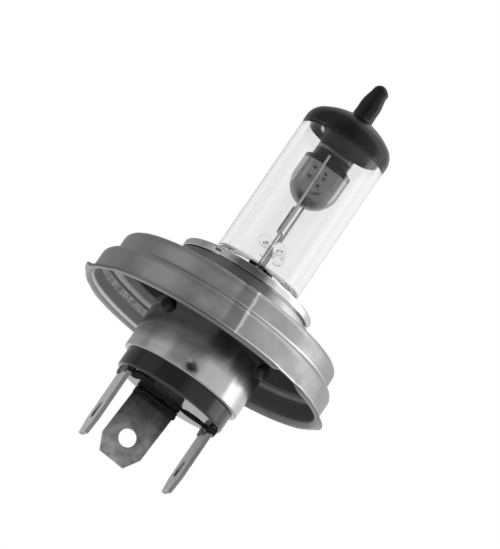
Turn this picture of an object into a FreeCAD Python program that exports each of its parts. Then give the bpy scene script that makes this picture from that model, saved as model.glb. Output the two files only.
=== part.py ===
import FreeCAD, Part
import Sketcher
import math
import os
import re
from FreeCAD import Placement, Rotation, Vector

# Halogen headlight bulb with two filaments, millimetres.
# +Z is the lamp axis and points to the glass tip.  The origin is the centre of the seat plane,
# where the locating ring's pilot wall meets its seat.  -Y faces the back of the dipped-beam shield.

doc = FreeCAD.newDocument("HeadlightBulb")
sheet = doc.addObject("Spreadsheet::Sheet", "Sizes")

SIZES = {
    # locating ring: a stepped cup of pressed sheet
    "ring_sheet": 0.6,
    "pilot_radius": 20.8,
    "pilot_height": 4.3,
    "pilot_edge": 1.2,
    "seat_width": 1.7,
    "seat_edge": 1.3,
    "skirt_depth": 4.3,
    "flare_bend": 0.55,
    "flare_width": 1.4,
    "notch_width": 5.0,
    "notch_angle": 31.0,
    # base shell
    "shell_radius": 11.0,
    "shell_sheet": 0.5,
    "shell_room": 0.5,
    "shell_bottom": 12.5,
    "shell_edge": 0.6,
    "crimp_width": 2.3,
    "crimp_tall": 1.3,
    "crimp_depth": 0.3,
    "crimp_bend": 0.5,
    "crimp_up": 1.3,
    "crimp_angle": 7.0,
    "sleeve_gap": 0.05,
    # retaining collar
    "collar_bead": 0.9,
    "collar_sheet": 0.6,
    "collar_top": 8.5,
    "collar_edge": 0.5,
    "collar_rim": 1.5,
    "collar_mouth_gap": 0.6,
    "collar_neck_gap": 0.05,
    "collar_skirt_end": 2.0,
    "tab_width": 1.5,
    "tab_tall": 0.9,
    "tab_depth": 0.35,
    "tab_angle": 42.0,
    # pegs through the shell wall
    "peg_radius": 1.1,
    "peg_stand": 0.85,
    "peg_round": 0.4,
    "peg_drop": 4.0,
    # insulator
    "insulator_clearance": 0.3,
    "insulator_stand": 3.4,
    "insulator_inside": 5.5,
    "insulator_edge": 1.0,
    # blade terminals
    "blade_width": 8.0,
    "blade_sheet": 0.8,
    "blade_reach": 12.9,
    "blade_top_stand": 0.8,
    "blade_nose": 2.8,
    "blade_nose_cut": 1.5,
    "blade_hole_radius": 1.58,
    "blade_hole_up": 4.5,
    "side_blade_cover": 1.7,
    "back_blade_cover": 3.5,
    "slot_gap": 0.03,
    "boss_side": 0.2,
    "boss_wall": 0.4,
    "boss_tall": 1.6,
    # burner: quartz envelope with its pinch
    "burner_shift": 0.3,
    "burner_turn": 14.0,
    "glass_radius": 8.0,
    "glass_wall": 1.2,
    "glass_sink": 0.45,
    "glass_floor": 2.0,
    "glass_heel": 2.2,
    "shoulder_room": 2.1,
    "dome_height": 4.6,
    "dome_bend": 3.0,
    "tip_radius": 1.8,
    "tip_straight": 3.4,
    "tip_cone": 3.4,
    "tip_end_radius": 1.0,
    "coat_thickness": 0.08,
    "coat_overlap": 0.9,
    "pinch_thickness": 3.4,
    "pinch_width": 13.0,
    "pinch_edge": 0.7,
    "pinch_bottom": 3.0,
    "pinch_sink": 0.8,
    # clip that holds the pinch under the collar
    "clip_sheet": 0.5,
    "clip_depth": 5.0,
    "clip_gap": 0.05,
    "potting_gap": 0.1,
    "potting_top": 0.9,
    "potting_drop": 2.5,
    # leads, foils and bridge
    "lead_radius": 0.25,
    "lead_pitch": 3.5,
    "lead_bend": 0.9,
    "foil_thickness": 0.12,
    "foil_width": 2.6,
    "foil_room": 1.05,
    "foil_bottom": 1.0,
    "bridge_radius": 1.1,
    "bridge_length": 9.6,
    "bridge_rise": 4.55,
    # dipped-beam shield
    "shield_radius": 4.35,
    "shield_sheet": 0.3,
    "shield_rise": 0.8,
    "shield_height": 9.0,
    "shield_shift": 0.4,
    "shield_corner": 0.9,
    "tongue_width": 6.9,
    "tongue_height": 2.2,
    # filaments
    "coil_wire": 0.11,
    "coil_radius": 0.43,
    "coil_pitch": 0.35,
    "main_coil_rise": 2.3,
    "main_coil_length": 4.9,
    "main_coil_shift": 0.75,
    "dipped_coil_rise": 1.3,
    "dipped_coil_length": 5.5,
    "dipped_coil_back": 0.3,
    "main_lead_gap": 0.4,
    "weld_gap": 0.03,
}

# Radii and heights that follow from the sizes, each tied to the piece it fits or stands on.
PLACES = {
    "seat_radius": "pilot_radius + seat_width",
    "flare_radius": "seat_radius + flare_width",
    "insulator_radius": "shell_radius - shell_sheet - insulator_clearance",
    "insulator_bottom": "shell_bottom + insulator_stand",
    "crimp_drop": "shell_bottom - crimp_up",
    "blade_end": "insulator_bottom + blade_reach",
    "side_blade_out": "insulator_radius - side_blade_cover",
    "back_blade_out": "insulator_radius - back_blade_cover",
    "collar_radius": "shell_radius + collar_sheet + collar_bead",
    "collar_mouth": "glass_radius + burner_shift + collar_mouth_gap",
    "neck_top": "collar_top - collar_rim - collar_neck_gap",
    "shell_top": "collar_top - collar_sheet - clip_sheet - shell_room",
    "clip_radius": "shell_radius - shell_sheet",
    "potting_radius": "shell_radius - shell_sheet - potting_gap",
    "glass_bottom": "collar_top - glass_sink",
    "foil_top": "glass_bottom - foil_room",
    "bridge_height": "glass_bottom + glass_floor + bridge_rise",
    "main_coil_bottom": "bridge_height + bridge_radius + main_coil_rise",
    "main_lead_top": "main_coil_bottom - main_lead_gap",
    "shield_bottom": "main_coil_bottom + main_coil_length + shield_rise",
    "shield_top": "shield_bottom + shield_height",
    "dipped_coil_bottom": "shield_bottom + dipped_coil_rise",
    "tongue_top": "shield_top + tongue_height",
    "glass_shoulder": "tongue_top + shoulder_room",
    "coat_edge": "glass_shoulder - coat_overlap",
    "tip_taper": "glass_shoulder + dome_height + tip_straight",
    "tip_end": "tip_taper + tip_cone",
}

for row, (alias, content) in enumerate({**SIZES, **PLACES}.items(), start=1):
    sheet.set("A%d" % row, alias.replace("_", " "))
    sheet.set("B%d" % row, str(content) if alias in SIZES else "=" + content)
    sheet.setAlias("B%d" % row, alias)
doc.recompute()


def bound(text):
    """The expression for a line of sheet names, such as 'shell_radius - shell_sheet'."""
    return re.sub(r"[a-z][a-z_]+", lambda word: ("Sizes." if word.group() in SIZES or word.group() in PLACES else "") + word.group(), text)


def size(text):
    """The present value of such a line."""
    value = sheet.evalExpression(bound(text))
    return float(getattr(value, "Value", value))


def drive(thing, **ties):
    """Tie properties of an object to lines of sheet names; a double underscore stands for a dot."""
    for name, text in ties.items():
        thing.setExpression(name.replace("__", "."), bound(text))


def new_body(label):
    body = doc.addObject("PartDesign::Body", label)
    body.Label = label
    return body


def new_sketch(body, name, plane, lift=None):
    """A sketch on one of the body's own planes, lifted along the plane's normal."""
    sketch = body.newObject("Sketcher::SketchObject", name)
    face = [item for item in body.Origin.OriginFeatures if item.Role == plane][0]
    sketch.AttachmentSupport = [(face, "")]
    sketch.MapMode = "FlatFace"
    if lift:
        drive(sketch, AttachmentOffset__Base__z=lift)
    return sketch


def fix_point(sketch, index, end, across, up):
    """Hold one point of a sketch by its two distances from the origin."""
    for kind, text in (("DistanceX", across), ("DistanceY", up)):
        rule = sketch.addConstraint(Sketcher.Constraint(kind, -1, 1, index, end, size(text)))
        sketch.setExpression("Constraints[%d]" % rule, bound(text))


def fix_radius(sketch, index, text):
    rule = sketch.addConstraint(Sketcher.Constraint("Radius", index, size(text)))
    sketch.setExpression("Constraints[%d]" % rule, bound(text))


def add_outline(sketch, corners, closed=True):
    """Draw sides through corners.

    A corner is (across, up) before a straight side, or (across, up, radius, turn) before an arc
    that turns left (+1) or right (-1) on its way to the next corner.
    """
    places = [Vector(size(corner[0]), size(corner[1]), 0) for corner in corners]
    count = len(corners) if closed else len(corners) - 1
    sides = []
    for number in range(count):
        corner = corners[number]
        start = places[number]
        stop = places[(number + 1) % len(corners)]
        if len(corner) == 2:
            index = sketch.addGeometry(Part.LineSegment(start, stop), False)
            sides.append((index, 1, 2))
            continue
        radius = size(corner[2])
        chord = stop - start
        left = Vector(-chord.y, chord.x, 0).normalize() * corner[3]
        centre = (start + stop) * 0.5 + left * math.sqrt(max(radius ** 2 - chord.Length ** 2 / 4, 0.0))
        first, last = (start, stop) if corner[3] > 0 else (stop, start)
        begin = math.atan2(first.y - centre.y, first.x - centre.x)
        finish = math.atan2(last.y - centre.y, last.x - centre.x)
        circle = Part.Circle(centre, Vector(0, 0, 1), radius)
        index = sketch.addGeometry(Part.ArcOfCircle(circle, begin, finish), False)
        sides.append((index, 1, 2) if corner[3] > 0 else (index, 2, 1))
    for number, (index, begin_end, finish_end) in enumerate(sides):
        fix_point(sketch, index, begin_end, corners[number][0], corners[number][1])
        if len(corners[number]) == 4:
            fix_radius(sketch, index, corners[number][2])
        if number + 1 < count or closed:
            following = sides[(number + 1) % count]
            sketch.addConstraint(Sketcher.Constraint("Coincident", index, finish_end, following[0], following[1]))
        else:
            fix_point(sketch, index, finish_end, corners[-1][0], corners[-1][1])


def add_circle(sketch, across, up, radius):
    index = sketch.addGeometry(Part.Circle(Vector(size(across), size(up), 0), Vector(0, 0, 1), size(radius)), False)
    fix_point(sketch, index, 3, across, up)
    fix_radius(sketch, index, radius)


def add_rectangle(sketch, half_across, half_up, across="0", up="0"):
    """A rectangle about a centre, from its two half sizes."""
    low_x, high_x = "%s - (%s)" % (across, half_across), "%s + (%s)" % (across, half_across)
    low_y, high_y = "%s - (%s)" % (up, half_up), "%s + (%s)" % (up, half_up)
    add_outline(sketch, [(low_x, low_y), (high_x, low_y), (high_x, high_y), (low_x, high_y)])


def add_rounded_rectangle(sketch, half_across, half_up, bend, up="0"):
    """A rectangle whose corners are round, about a point on the sketch's upright axis."""
    low, high = "%s - (%s)" % (up, half_up), "%s + (%s)" % (up, half_up)
    add_outline(sketch, [
        ("-(%s) + %s" % (half_across, bend), low),
        ("%s - (%s)" % (half_across, bend), low, bend, 1),
        (half_across, "%s + %s" % (low, bend)),
        (half_across, "%s - (%s)" % (high, bend), bend, 1),
        ("%s - (%s)" % (half_across, bend), high),
        ("-(%s) + %s" % (half_across, bend), high, bend, 1),
        ("-(%s)" % half_across, "%s - (%s)" % (high, bend)),
        ("-(%s)" % half_across, "%s + %s" % (low, bend), bend, 1),
    ])


def add_feature(body, kind, name, sketch, **ties):
    """A PartDesign feature made from a sketch."""
    feature = body.newObject("PartDesign::" + kind, name)
    feature.Profile = sketch
    drive(feature, **ties)
    sketch.Visibility = False
    return feature


def turn(body, name, corners, angle=360.0):
    """Turn a half section, drawn as (radius, height), about the body's Z axis."""
    sketch = new_sketch(body, name + "_section", "XZ_Plane")
    add_outline(sketch, corners)
    feature = body.newObject("PartDesign::Revolution", name)
    feature.Profile = sketch
    feature.ReferenceAxis = (sketch, ["V_Axis"])
    feature.Angle = angle
    sketch.Visibility = False
    return feature


def cut_up(body, name, sketch, length):
    """Pocket from a sketch in the direction of its normal; it has to take material away."""
    doc.recompute()
    before = body.Shape.Volume
    pocket = add_feature(body, "Pocket", name, sketch, Length=length)
    pocket.Reversed = True
    doc.recompute()
    if not body.Shape.Volume < before:
        raise RuntimeError("%s cuts nothing" % name)
    return pocket


def repeat_round(body, name, features, count):
    """Repeat features evenly about the body's Z axis."""
    pattern = body.newObject("PartDesign::PolarPattern", name)
    pattern.Originals = features
    pattern.Axis = ([item for item in body.Origin.OriginFeatures if item.Role == "Z_Axis"][0], [""])
    pattern.Angle = 360.0
    pattern.Occurrences = count
    body.Tip = pattern
    return pattern


def around_axis(body, degrees, across="0", back="0"):
    """Turn a body about Z and move it; the two distances are tied to the sheet."""
    body.Placement = Placement(Vector(size(across), size(back), 0), Rotation(Vector(0, 0, 1), degrees))
    drive(body, Placement__Base__x=across, Placement__Base__y=back)


def in_burner(body, across="0", back="0"):
    """Place a body that belongs to the burner, at a point of the burner's own turned frame."""
    turned = "(-burner_turn)"
    body.Placement = Placement(Vector(0, 0, 0), Rotation(Vector(0, 0, 1), -size("burner_turn")))
    drive(body,
          Placement__Base__x="burner_shift + (%s) * cos(%s * 1deg) - (%s) * sin(%s * 1deg)"
                             % (across, turned, back, turned),
          Placement__Base__y="(%s) * sin(%s * 1deg) + (%s) * cos(%s * 1deg)" % (across, turned, back, turned))


# Locating ring: pilot wall, seat, skirt and flared lip are one pressed sheet.
def make_locating_ring():
    body = new_body("locating_ring")
    neck_inside = "shell_radius + collar_sheet + 2 * sleeve_gap"
    flare_start = "seat_radius + flare_bend"
    lip_top = "-skirt_depth - flare_bend"
    turn(body, "ring_turn", [
        (neck_inside, "pilot_height - ring_sheet"),
        (neck_inside, "neck_top"),
        (neck_inside + " + ring_sheet", "neck_top"),
        (neck_inside + " + ring_sheet", "pilot_height"),
        ("pilot_radius - pilot_edge", "pilot_height", "pilot_edge", -1),
        ("pilot_radius", "pilot_height - pilot_edge"),
        ("pilot_radius", "0"),
        ("seat_radius - seat_edge", "0", "seat_edge", -1),
        ("seat_radius", "-seat_edge"),
        ("seat_radius", "-skirt_depth", "flare_bend", 1),
        (flare_start, lip_top),
        ("flare_radius", lip_top),
        ("flare_radius", lip_top + " - ring_sheet"),
        (flare_start, lip_top + " - ring_sheet", "flare_bend + ring_sheet", -1),
        ("seat_radius - ring_sheet", "-skirt_depth"),
        ("seat_radius - ring_sheet", "-seat_edge", "seat_edge - ring_sheet", 1),
        ("seat_radius - seat_edge", "-ring_sheet"),
        ("pilot_radius - ring_sheet", "-ring_sheet"),
        ("pilot_radius - ring_sheet", "pilot_height - pilot_edge", "pilot_edge - ring_sheet", 1),
        ("pilot_radius - pilot_edge", "pilot_height - ring_sheet"),
    ])
    # the notch in the lip, drawn on the lip's lower plane and cut upward
    sketch = new_sketch(body, "lip_notch_outline", "XY_Plane", lip_top + " - ring_sheet")
    sketch.AttachmentOffset = Placement(Vector(0, 0, 0), Rotation(Vector(0, 0, 1), size("notch_angle") - 90))
    drive(sketch, AttachmentOffset__Base__z=lip_top + " - ring_sheet")
    add_rectangle(sketch, "(flare_radius - seat_radius) / 2", "notch_width / 2", "(flare_radius + seat_radius) / 2 + 0.1")
    cut_up(body, "lip_notch", sketch, "ring_sheet + flare_bend")


# Base shell: a drawn tube whose lower edge is rolled in over the insulator.
def make_base_shell():
    body = new_body("base_shell")
    lip = "insulator_radius + sleeve_gap"
    turn(body, "shell_turn", [
        ("shell_radius - shell_sheet", "shell_top"),
        ("shell_radius", "shell_top"),
        ("shell_radius", "shell_edge - shell_bottom", "shell_edge", -1),
        ("shell_radius - shell_edge", "-shell_bottom"),
        (lip, "-shell_bottom"),
        (lip, "shell_sheet - shell_bottom"),
        ("shell_radius - shell_sheet", "shell_edge - shell_bottom"),
    ])
    # three crimps press the wall against the insulator
    crimp = new_sketch(body, "crimp_outline", "XZ_Plane", "shell_radius - crimp_depth")
    add_rounded_rectangle(crimp, "crimp_width / 2", "crimp_tall / 2", "crimp_bend", "-crimp_drop")
    first = cut_up(body, "crimp", crimp, "2 * crimp_depth")
    repeat_round(body, "crimps", [first], 3)
    # three holes for the pegs; the sketch plane looks along -Y, a sixth of a turn from the first peg
    hole = new_sketch(body, "peg_hole_outline", "XZ_Plane")
    hole.AttachmentOffset = Placement(Vector(0, 0, 0), Rotation(Vector(0, 1, 0), size("60 + crimp_angle")))
    add_circle(hole, "0", "-peg_drop", "peg_radius")
    opening = cut_up(body, "peg_hole", hole, "2 * shell_radius")
    repeat_round(body, "peg_holes", [opening], 3)
    around_axis(body, -size("crimp_angle"))


# Retaining collar: a cap whose skirt slides between the shell and the ring's neck.
def make_retaining_collar():
    body = new_body("retaining_collar")
    inside = "shell_radius + sleeve_gap"
    turn(body, "collar_turn", [
        (inside, "collar_skirt_end"),
        (inside + " + collar_sheet", "collar_skirt_end"),
        (inside + " + collar_sheet", "collar_top - collar_rim"),
        ("collar_radius", "collar_top - collar_rim"),
        ("collar_radius", "collar_top - collar_edge", "collar_edge", 1),
        ("collar_radius - collar_edge", "collar_top"),
        ("collar_mouth", "collar_top"),
        ("collar_mouth", "collar_top - collar_sheet"),
        (inside, "collar_top - collar_sheet"),
    ])
    tab = new_sketch(body, "tab_outline", "XZ_Plane", "collar_radius - tab_depth")
    add_rectangle(tab, "tab_width / 2", "tab_tall / 2", "0", "collar_top - collar_rim + tab_tall / 2")
    first = cut_up(body, "tab", tab, "2 * tab_depth")
    repeat_round(body, "tabs", [first], 3)
    around_axis(body, -size("tab_angle"))


# Pegs: three rivets that stand out of the shell.
def make_peg(label, degrees):
    body = new_body(label)
    inner = "shell_radius - shell_sheet"
    outer = "shell_radius + peg_stand"
    sketch = new_sketch(body, label + "_section", "XZ_Plane")
    add_outline(sketch, [
        ("0", inner),
        ("peg_radius", inner),
        ("peg_radius", outer + " - peg_round", "peg_round", 1),
        ("peg_radius - peg_round", outer),
        ("0", outer),
    ])
    feature = body.newObject("PartDesign::Revolution", label + "_turn")
    feature.Profile = sketch
    feature.ReferenceAxis = (sketch, ["V_Axis"])
    feature.Angle = 360.0
    lying = Rotation(Vector(1, 0, 0), 90)
    body.Placement = Placement(Vector(0, 0, -size("peg_drop")), Rotation(Vector(0, 0, 1), degrees) * lying)
    drive(body, Placement__Base__z="-peg_drop")


# Insulator: a moulded plug with a slot for each blade.
def make_insulator():
    body = new_body("insulator")
    top = "insulator_inside - shell_bottom"
    turn(body, "insulator_turn", [
        ("0", "-insulator_bottom"),
        ("insulator_radius - insulator_edge", "-insulator_bottom", "insulator_edge", 1),
        ("insulator_radius", "insulator_edge - insulator_bottom"),
        ("insulator_radius", top),
        ("0", top),
    ])
    sketch = new_sketch(body, "blade_slots", "XY_Plane", "-insulator_bottom")
    wide = "blade_width / 2 + slot_gap"
    thin = "blade_sheet / 2 + slot_gap"
    add_rectangle(sketch, thin, wide, "-side_blade_out")
    add_rectangle(sketch, thin, wide, "side_blade_out")
    add_rectangle(sketch, wide, thin, "0", "back_blade_out")
    cut_up(body, "slots", sketch, "insulator_bottom + %s + 1" % top)


# Blade terminals: flat blades with a bevelled nose and a detent hole.
def make_blade(label, degrees, across, back):
    body = new_body(label)
    top = "insulator_inside - shell_bottom + blade_top_stand"
    half = "blade_width / 2"
    sketch = new_sketch(body, label + "_outline", "XZ_Plane")
    add_outline(sketch, [
        ("-%s" % half, top),
        ("-%s" % half, "blade_nose - blade_end"),
        ("blade_nose_cut - %s" % half, "-blade_end"),
        ("%s - blade_nose_cut" % half, "-blade_end"),
        (half, "blade_nose - blade_end"),
        (half, top),
    ])
    add_circle(sketch, "0", "blade_hole_up - blade_end", "blade_hole_radius")
    pad = add_feature(body, "Pad", label + "_pad", sketch, Length="blade_sheet")
    pad.SideType = "Symmetric"
    around_axis(body, degrees, across, back)


# Bosses: the sealing compound that stands around each blade's root.
def make_boss(label, degrees, across, back):
    body = new_body(label)
    sketch = new_sketch(body, label + "_outline", "XY_Plane", "-insulator_bottom - boss_tall")
    add_rectangle(sketch, "blade_width / 2 + boss_side", "blade_sheet / 2 + boss_wall")
    add_rectangle(sketch, "blade_width / 2", "blade_sheet / 2")
    add_feature(body, "Pad", label + "_pad", sketch, Length="boss_tall")
    around_axis(body, degrees, across, back)


# Quartz envelope.  The dome is a shoulder bend that runs into a wide top arc centred on the axis.
DOME_ARC = "((glass_radius - dome_bend)^2 + dome_height^2 - dome_bend^2) / (2 * (dome_height - dome_bend))"
DOME_CENTRE = "(glass_shoulder + dome_height - %s)" % DOME_ARC
DOME_SLANT = "(%s - dome_bend)" % DOME_ARC


def dome_corners(extra, edge):
    """The outside of the glass above a height, grown by an extra: wall, dome and exhaust tip."""
    arc = "(%s + %s)" % (DOME_ARC, extra)
    tip = "(tip_radius + %s)" % extra
    return [
        ("glass_radius + %s" % extra, edge),
        ("glass_radius + %s" % extra, "glass_shoulder", "dome_bend + %s" % extra, 1),
        ("%s * (glass_radius - dome_bend) / %s" % (arc, DOME_SLANT),
         "%s + %s * (glass_shoulder - %s) / %s" % (DOME_CENTRE, arc, DOME_CENTRE, DOME_SLANT), arc, 1),
        (tip, "%s + sqrt(%s^2 - %s^2)" % (DOME_CENTRE, arc, tip)),
        (tip, "tip_taper"),
        ("tip_end_radius + %s" % extra, "tip_end - tip_end_radius", "tip_end_radius + %s" % extra, 1),
        ("0", "tip_end + %s" % extra),
    ]


def make_quartz_envelope():
    body = new_body("quartz_envelope")
    floor = "glass_bottom + glass_floor"
    inner_arc = "(%s - glass_wall)" % DOME_ARC
    outside = [("0", "glass_bottom"), ("glass_radius - glass_heel", "glass_bottom", "glass_heel", 1)]
    inside = [
        ("0", "%s + %s" % (DOME_CENTRE, inner_arc), inner_arc, -1),
        ("%s * (glass_radius - dome_bend) / %s" % (inner_arc, DOME_SLANT),
         "%s + %s * (glass_shoulder - %s) / %s" % (DOME_CENTRE, inner_arc, DOME_CENTRE, DOME_SLANT),
         "dome_bend - glass_wall", -1),
        ("glass_radius - glass_wall", "glass_shoulder"),
        ("glass_radius - glass_wall", floor + " + glass_heel - glass_wall", "glass_heel - glass_wall", -1),
        ("glass_radius - glass_heel", floor),
        ("0", floor),
    ]
    turn(body, "glass_turn", outside + dome_corners("0", "glass_bottom + glass_heel") + inside)
    pinch = new_sketch(body, "pinch_outline", "XY_Plane", "-pinch_bottom")
    add_rounded_rectangle(pinch, "pinch_thickness / 2", "pinch_width / 2", "pinch_edge")
    add_feature(body, "Pad", "pinch", pinch, Length="pinch_bottom + glass_bottom + pinch_sink")
    # seats of the foils and of the leads in the pinch
    foils = new_sketch(body, "foil_seats", "XY_Plane", "-foil_bottom")
    above = new_sketch(body, "inner_lead_seats", "XY_Plane", "foil_top")
    below = new_sketch(body, "outer_lead_seats", "XY_Plane", "-pinch_bottom")
    for step in (-1, 0, 1):
        place = "%d * lead_pitch" % step
        add_rectangle(foils, "foil_thickness / 2", "foil_width / 2", "0", place)
        add_circle(above, "0", place, "lead_radius")
        add_circle(below, "0", place, "lead_radius")
    cut_up(body, "foil_seat_cut", foils, "foil_bottom + foil_top")
    cut_up(body, "inner_lead_cut", above, "%s - foil_top + glass_wall" % floor)
    cut_up(body, "outer_lead_cut", below, "pinch_bottom - foil_bottom")
    in_burner(body)


def make_top_coating():
    body = new_body("black_top_coating")
    outer = dome_corners("coat_thickness", "coat_edge")
    inner = dome_corners("0", "coat_edge")
    # the way back along the glass: each arc now starts where it ended, and turns the other way
    back = [inner[-1][:2]]
    for corner, following in zip(reversed(inner[:-1]), reversed(inner[1:])):
        if len(corner) == 4:
            back[-1] = back[-1][:2] + (corner[2], -corner[3])
        back.append(corner[:2])
    turn(body, "coating_turn", outer + back)
    in_burner(body)


# Foils and leads inside the pinch, and the leads below it.
def make_foil(label, step):
    body = new_body(label)
    sketch = new_sketch(body, label + "_outline", "XY_Plane", "-foil_bottom")
    add_rectangle(sketch, "foil_thickness / 2", "foil_width / 2")
    add_feature(body, "Pad", label + "_pad", sketch, Length="foil_bottom + foil_top")
    in_burner(body, "0", "%d * lead_pitch" % step)


def make_straight_lead(label, step, bottom, top):
    body = new_body(label)
    sketch = new_sketch(body, label + "_outline", "XY_Plane", bottom)
    add_circle(sketch, "0", "0", "lead_radius")
    add_feature(body, "Pad", label + "_pad", sketch, Length="%s - (%s)" % (top, bottom))
    in_burner(body, "0", "%d * lead_pitch" % step)


def make_pipe(body, label, route, plane, start_lift, radius):
    """A round wire along a route drawn on an upright plane; the route starts straight up or down."""
    path = new_sketch(body, label + "_route", plane)
    add_outline(path, route, closed=False)
    ring = new_sketch(body, label + "_section", "XY_Plane", start_lift)
    add_circle(ring, route[0][0] if plane == "XZ_Plane" else "0", route[0][0] if plane == "YZ_Plane" else "0", radius)
    doc.recompute()
    pipe = body.newObject("PartDesign::AdditivePipe", label + "_pipe")
    pipe.Profile = ring
    pipe.Spine = (path, ["Edge%d" % (number + 1) for number in range(len(route) - 1)])
    path.Visibility = False
    ring.Visibility = False
    return pipe


def make_dipped_lead():
    """The far lead: up behind the shield, then forward into its open side."""
    body = new_body("dipped_beam_lead")
    level = "dipped_coil_bottom - coil_wire - lead_radius - weld_gap"
    make_pipe(body, "dipped_beam_lead", [
        ("lead_pitch", "foil_top"),
        ("lead_pitch", level + " - lead_bend", "lead_bend", 1),
        ("lead_pitch - lead_bend", level),
        ("dipped_coil_back", level),
    ], "YZ_Plane", "foil_top", "lead_radius")
    in_burner(body)


# Bridge: two quartz rods across the leads.
def make_bridge_rod(label, side):
    rod = doc.addObject("Part::Cylinder", label)
    rod.Label = label
    drive(rod, Radius="bridge_radius", Height="bridge_length")
    away = "%d * (bridge_radius + lead_radius)" % side
    turned = "(-burner_turn)"
    start = "bridge_length / 2"
    rod.Placement = Placement(Vector(0, 0, 0),
                              Rotation(Vector(0, 0, 1), -size("burner_turn")) * Rotation(Vector(1, 0, 0), 90))
    drive(rod,
          Placement__Base__x="burner_shift + %s * cos(%s * 1deg) - %s * sin(%s * 1deg)" % (away, turned, start, turned),
          Placement__Base__y="%s * sin(%s * 1deg) + %s * cos(%s * 1deg)" % (away, turned, start, turned),
          Placement__Base__z="bridge_height")


# Dipped-beam shield: a half-round trough with a round lower end, open towards +Y.
SHIELD_BACK = "sqrt((shield_radius + lead_radius)^2 - shield_shift^2) - lead_pitch"


def make_shield():
    body = new_body("dipped_beam_shield")
    ball = "(shield_bottom + shield_radius)"
    half = turn(body, "shield_turn", [
        ("0", "shield_bottom", "shield_radius", 1),
        ("shield_radius", ball),
        ("shield_radius", "shield_top"),
        ("shield_radius - shield_sheet", "shield_top"),
        ("shield_radius - shield_sheet", ball, "shield_radius - shield_sheet", -1),
        ("0", "shield_bottom + shield_sheet"),
    ], 180.0)
    half.Reversed = False
    doc.recompute()
    if body.Shape.BoundBox.YMax > size("shield_sheet"):
        half.Reversed = True
    # bevelled upper corners, cut from behind
    corner = new_sketch(body, "corner_outline", "XZ_Plane", "-shield_sheet")
    for side in ("-", ""):
        out, edge, top = side + "(shield_radius + 0.1)", side + "(shield_radius - shield_corner)", "shield_top"
        points = [(out, top + " - shield_corner"), (out, top + " + 0.1"), (edge, top + " + 0.1")]
        add_outline(corner, points if side else list(reversed(points)))
    cut_up(body, "corner_bevels", corner, "shield_radius + 2 * shield_sheet")
    # the tongue above the trough is a narrower strip of the same wall
    tongue = new_sketch(body, "tongue_outline", "XY_Plane", "shield_top")
    rise = "sqrt(shield_radius^2 - (tongue_width / 2)^2)"
    inner = "(shield_radius - shield_sheet)"
    dip = "sqrt(%s^2 - (tongue_width / 2)^2)" % inner
    add_outline(tongue, [
        ("-tongue_width / 2", "-" + rise, "shield_radius", 1),
        ("tongue_width / 2", "-" + rise),
        ("tongue_width / 2", "-" + dip, inner, -1),
        ("-tongue_width / 2", "-" + dip),
    ])
    add_feature(body, "Pad", "tongue", tongue, Length="tongue_top - shield_top")
    in_burner(body, "-shield_shift", SHIELD_BACK)


# Filaments: two tungsten coils about upright axes, each with a leg at its top.
def make_coil(label, bottom, length, across, back):
    body = new_body(label)
    sketch = new_sketch(body, label + "_wire", "XZ_Plane")
    add_circle(sketch, "coil_radius", bottom, "coil_wire")
    coil = body.newObject("PartDesign::AdditiveHelix", label + "_helix")
    coil.Profile = sketch
    coil.ReferenceAxis = (sketch, ["V_Axis"])
    coil.Mode = "pitch-height-angle"
    drive(coil, Pitch="coil_pitch", Height=length)
    sketch.Visibility = False
    in_burner(body, across, back)


def make_leg(label, plane, across, up, lift, length, place):
    """A straight stub of filament wire, drawn on a plane and padded along its normal."""
    body = new_body(label)
    sketch = new_sketch(body, label + "_outline", plane, lift)
    add_circle(sketch, across, up, "coil_wire")
    add_feature(body, "Pad", label + "_pad", sketch, Length=length)
    in_burner(body, place[0], place[1])


def make_filament_legs():
    """The straight ends of both coils: welded to a lead, to the shield's foot or to its wall."""
    coil_place = ("-main_coil_shift", "0")
    # the main coil's lower end runs across to its lead, at the height of the coil's first turn
    make_leg("main_beam_tail", "YZ_Plane", "0", "main_coil_bottom - 2 * coil_wire - weld_gap",
             "-main_coil_shift - coil_radius", "main_coil_shift + coil_radius", ("0", "0"))
    # its upper end rises to the foot of the shield
    make_leg("main_beam_leg", "XY_Plane", "coil_radius", "0",
             "main_coil_bottom + main_coil_length + 2 * coil_wire",
             "shield_bottom - main_coil_bottom - main_coil_length - 2 * coil_wire", coil_place)
    # the dipped coil's upper end runs back to the shield's wall
    make_leg("dipped_beam_leg", "XZ_Plane", "0",
             "dipped_coil_bottom + dipped_coil_length + 2 * coil_wire + weld_gap",
             "-dipped_coil_back", "shield_radius - shield_sheet - %s" % SHIELD_BACK, ("0", "0"))


# Clip: a plate under the collar with a channel that grips the pinch.
def make_clip():
    body = new_body("pinch_clip")
    top = "collar_top - collar_sheet"
    plate = new_sketch(body, "clip_plate_outline", "XY_Plane", top + " - clip_sheet")
    add_circle(plate, "0", "0", "clip_radius")
    gap_x, gap_y = "pinch_thickness / 2 + clip_gap", "pinch_width / 2 + clip_gap"
    add_rounded_rectangle(plate, gap_x, gap_y, "pinch_edge")
    add_feature(body, "Pad", "clip_plate", plate, Length="clip_sheet")
    channel = new_sketch(body, "clip_channel_outline", "XY_Plane", top + " - clip_depth")
    add_rounded_rectangle(channel, gap_x + " + clip_sheet", gap_y + " + clip_sheet", "pinch_edge + clip_sheet")
    add_rounded_rectangle(channel, gap_x, gap_y, "pinch_edge")
    add_feature(body, "Pad", "clip_channel", channel, Length="clip_depth")
    in_burner(body)


# Potting: the cement that sets the pinch in the shell.
def make_potting():
    body = new_body("potting_cement")
    sketch = new_sketch(body, "potting_outline", "XY_Plane", "-potting_drop")
    add_circle(sketch, "-burner_shift", "0", "potting_radius")
    add_rounded_rectangle(sketch, "pinch_thickness / 2", "pinch_width / 2", "pinch_edge")
    add_feature(body, "Pad", "potting_pad", sketch, Length="potting_drop + potting_top")
    in_burner(body)


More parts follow.
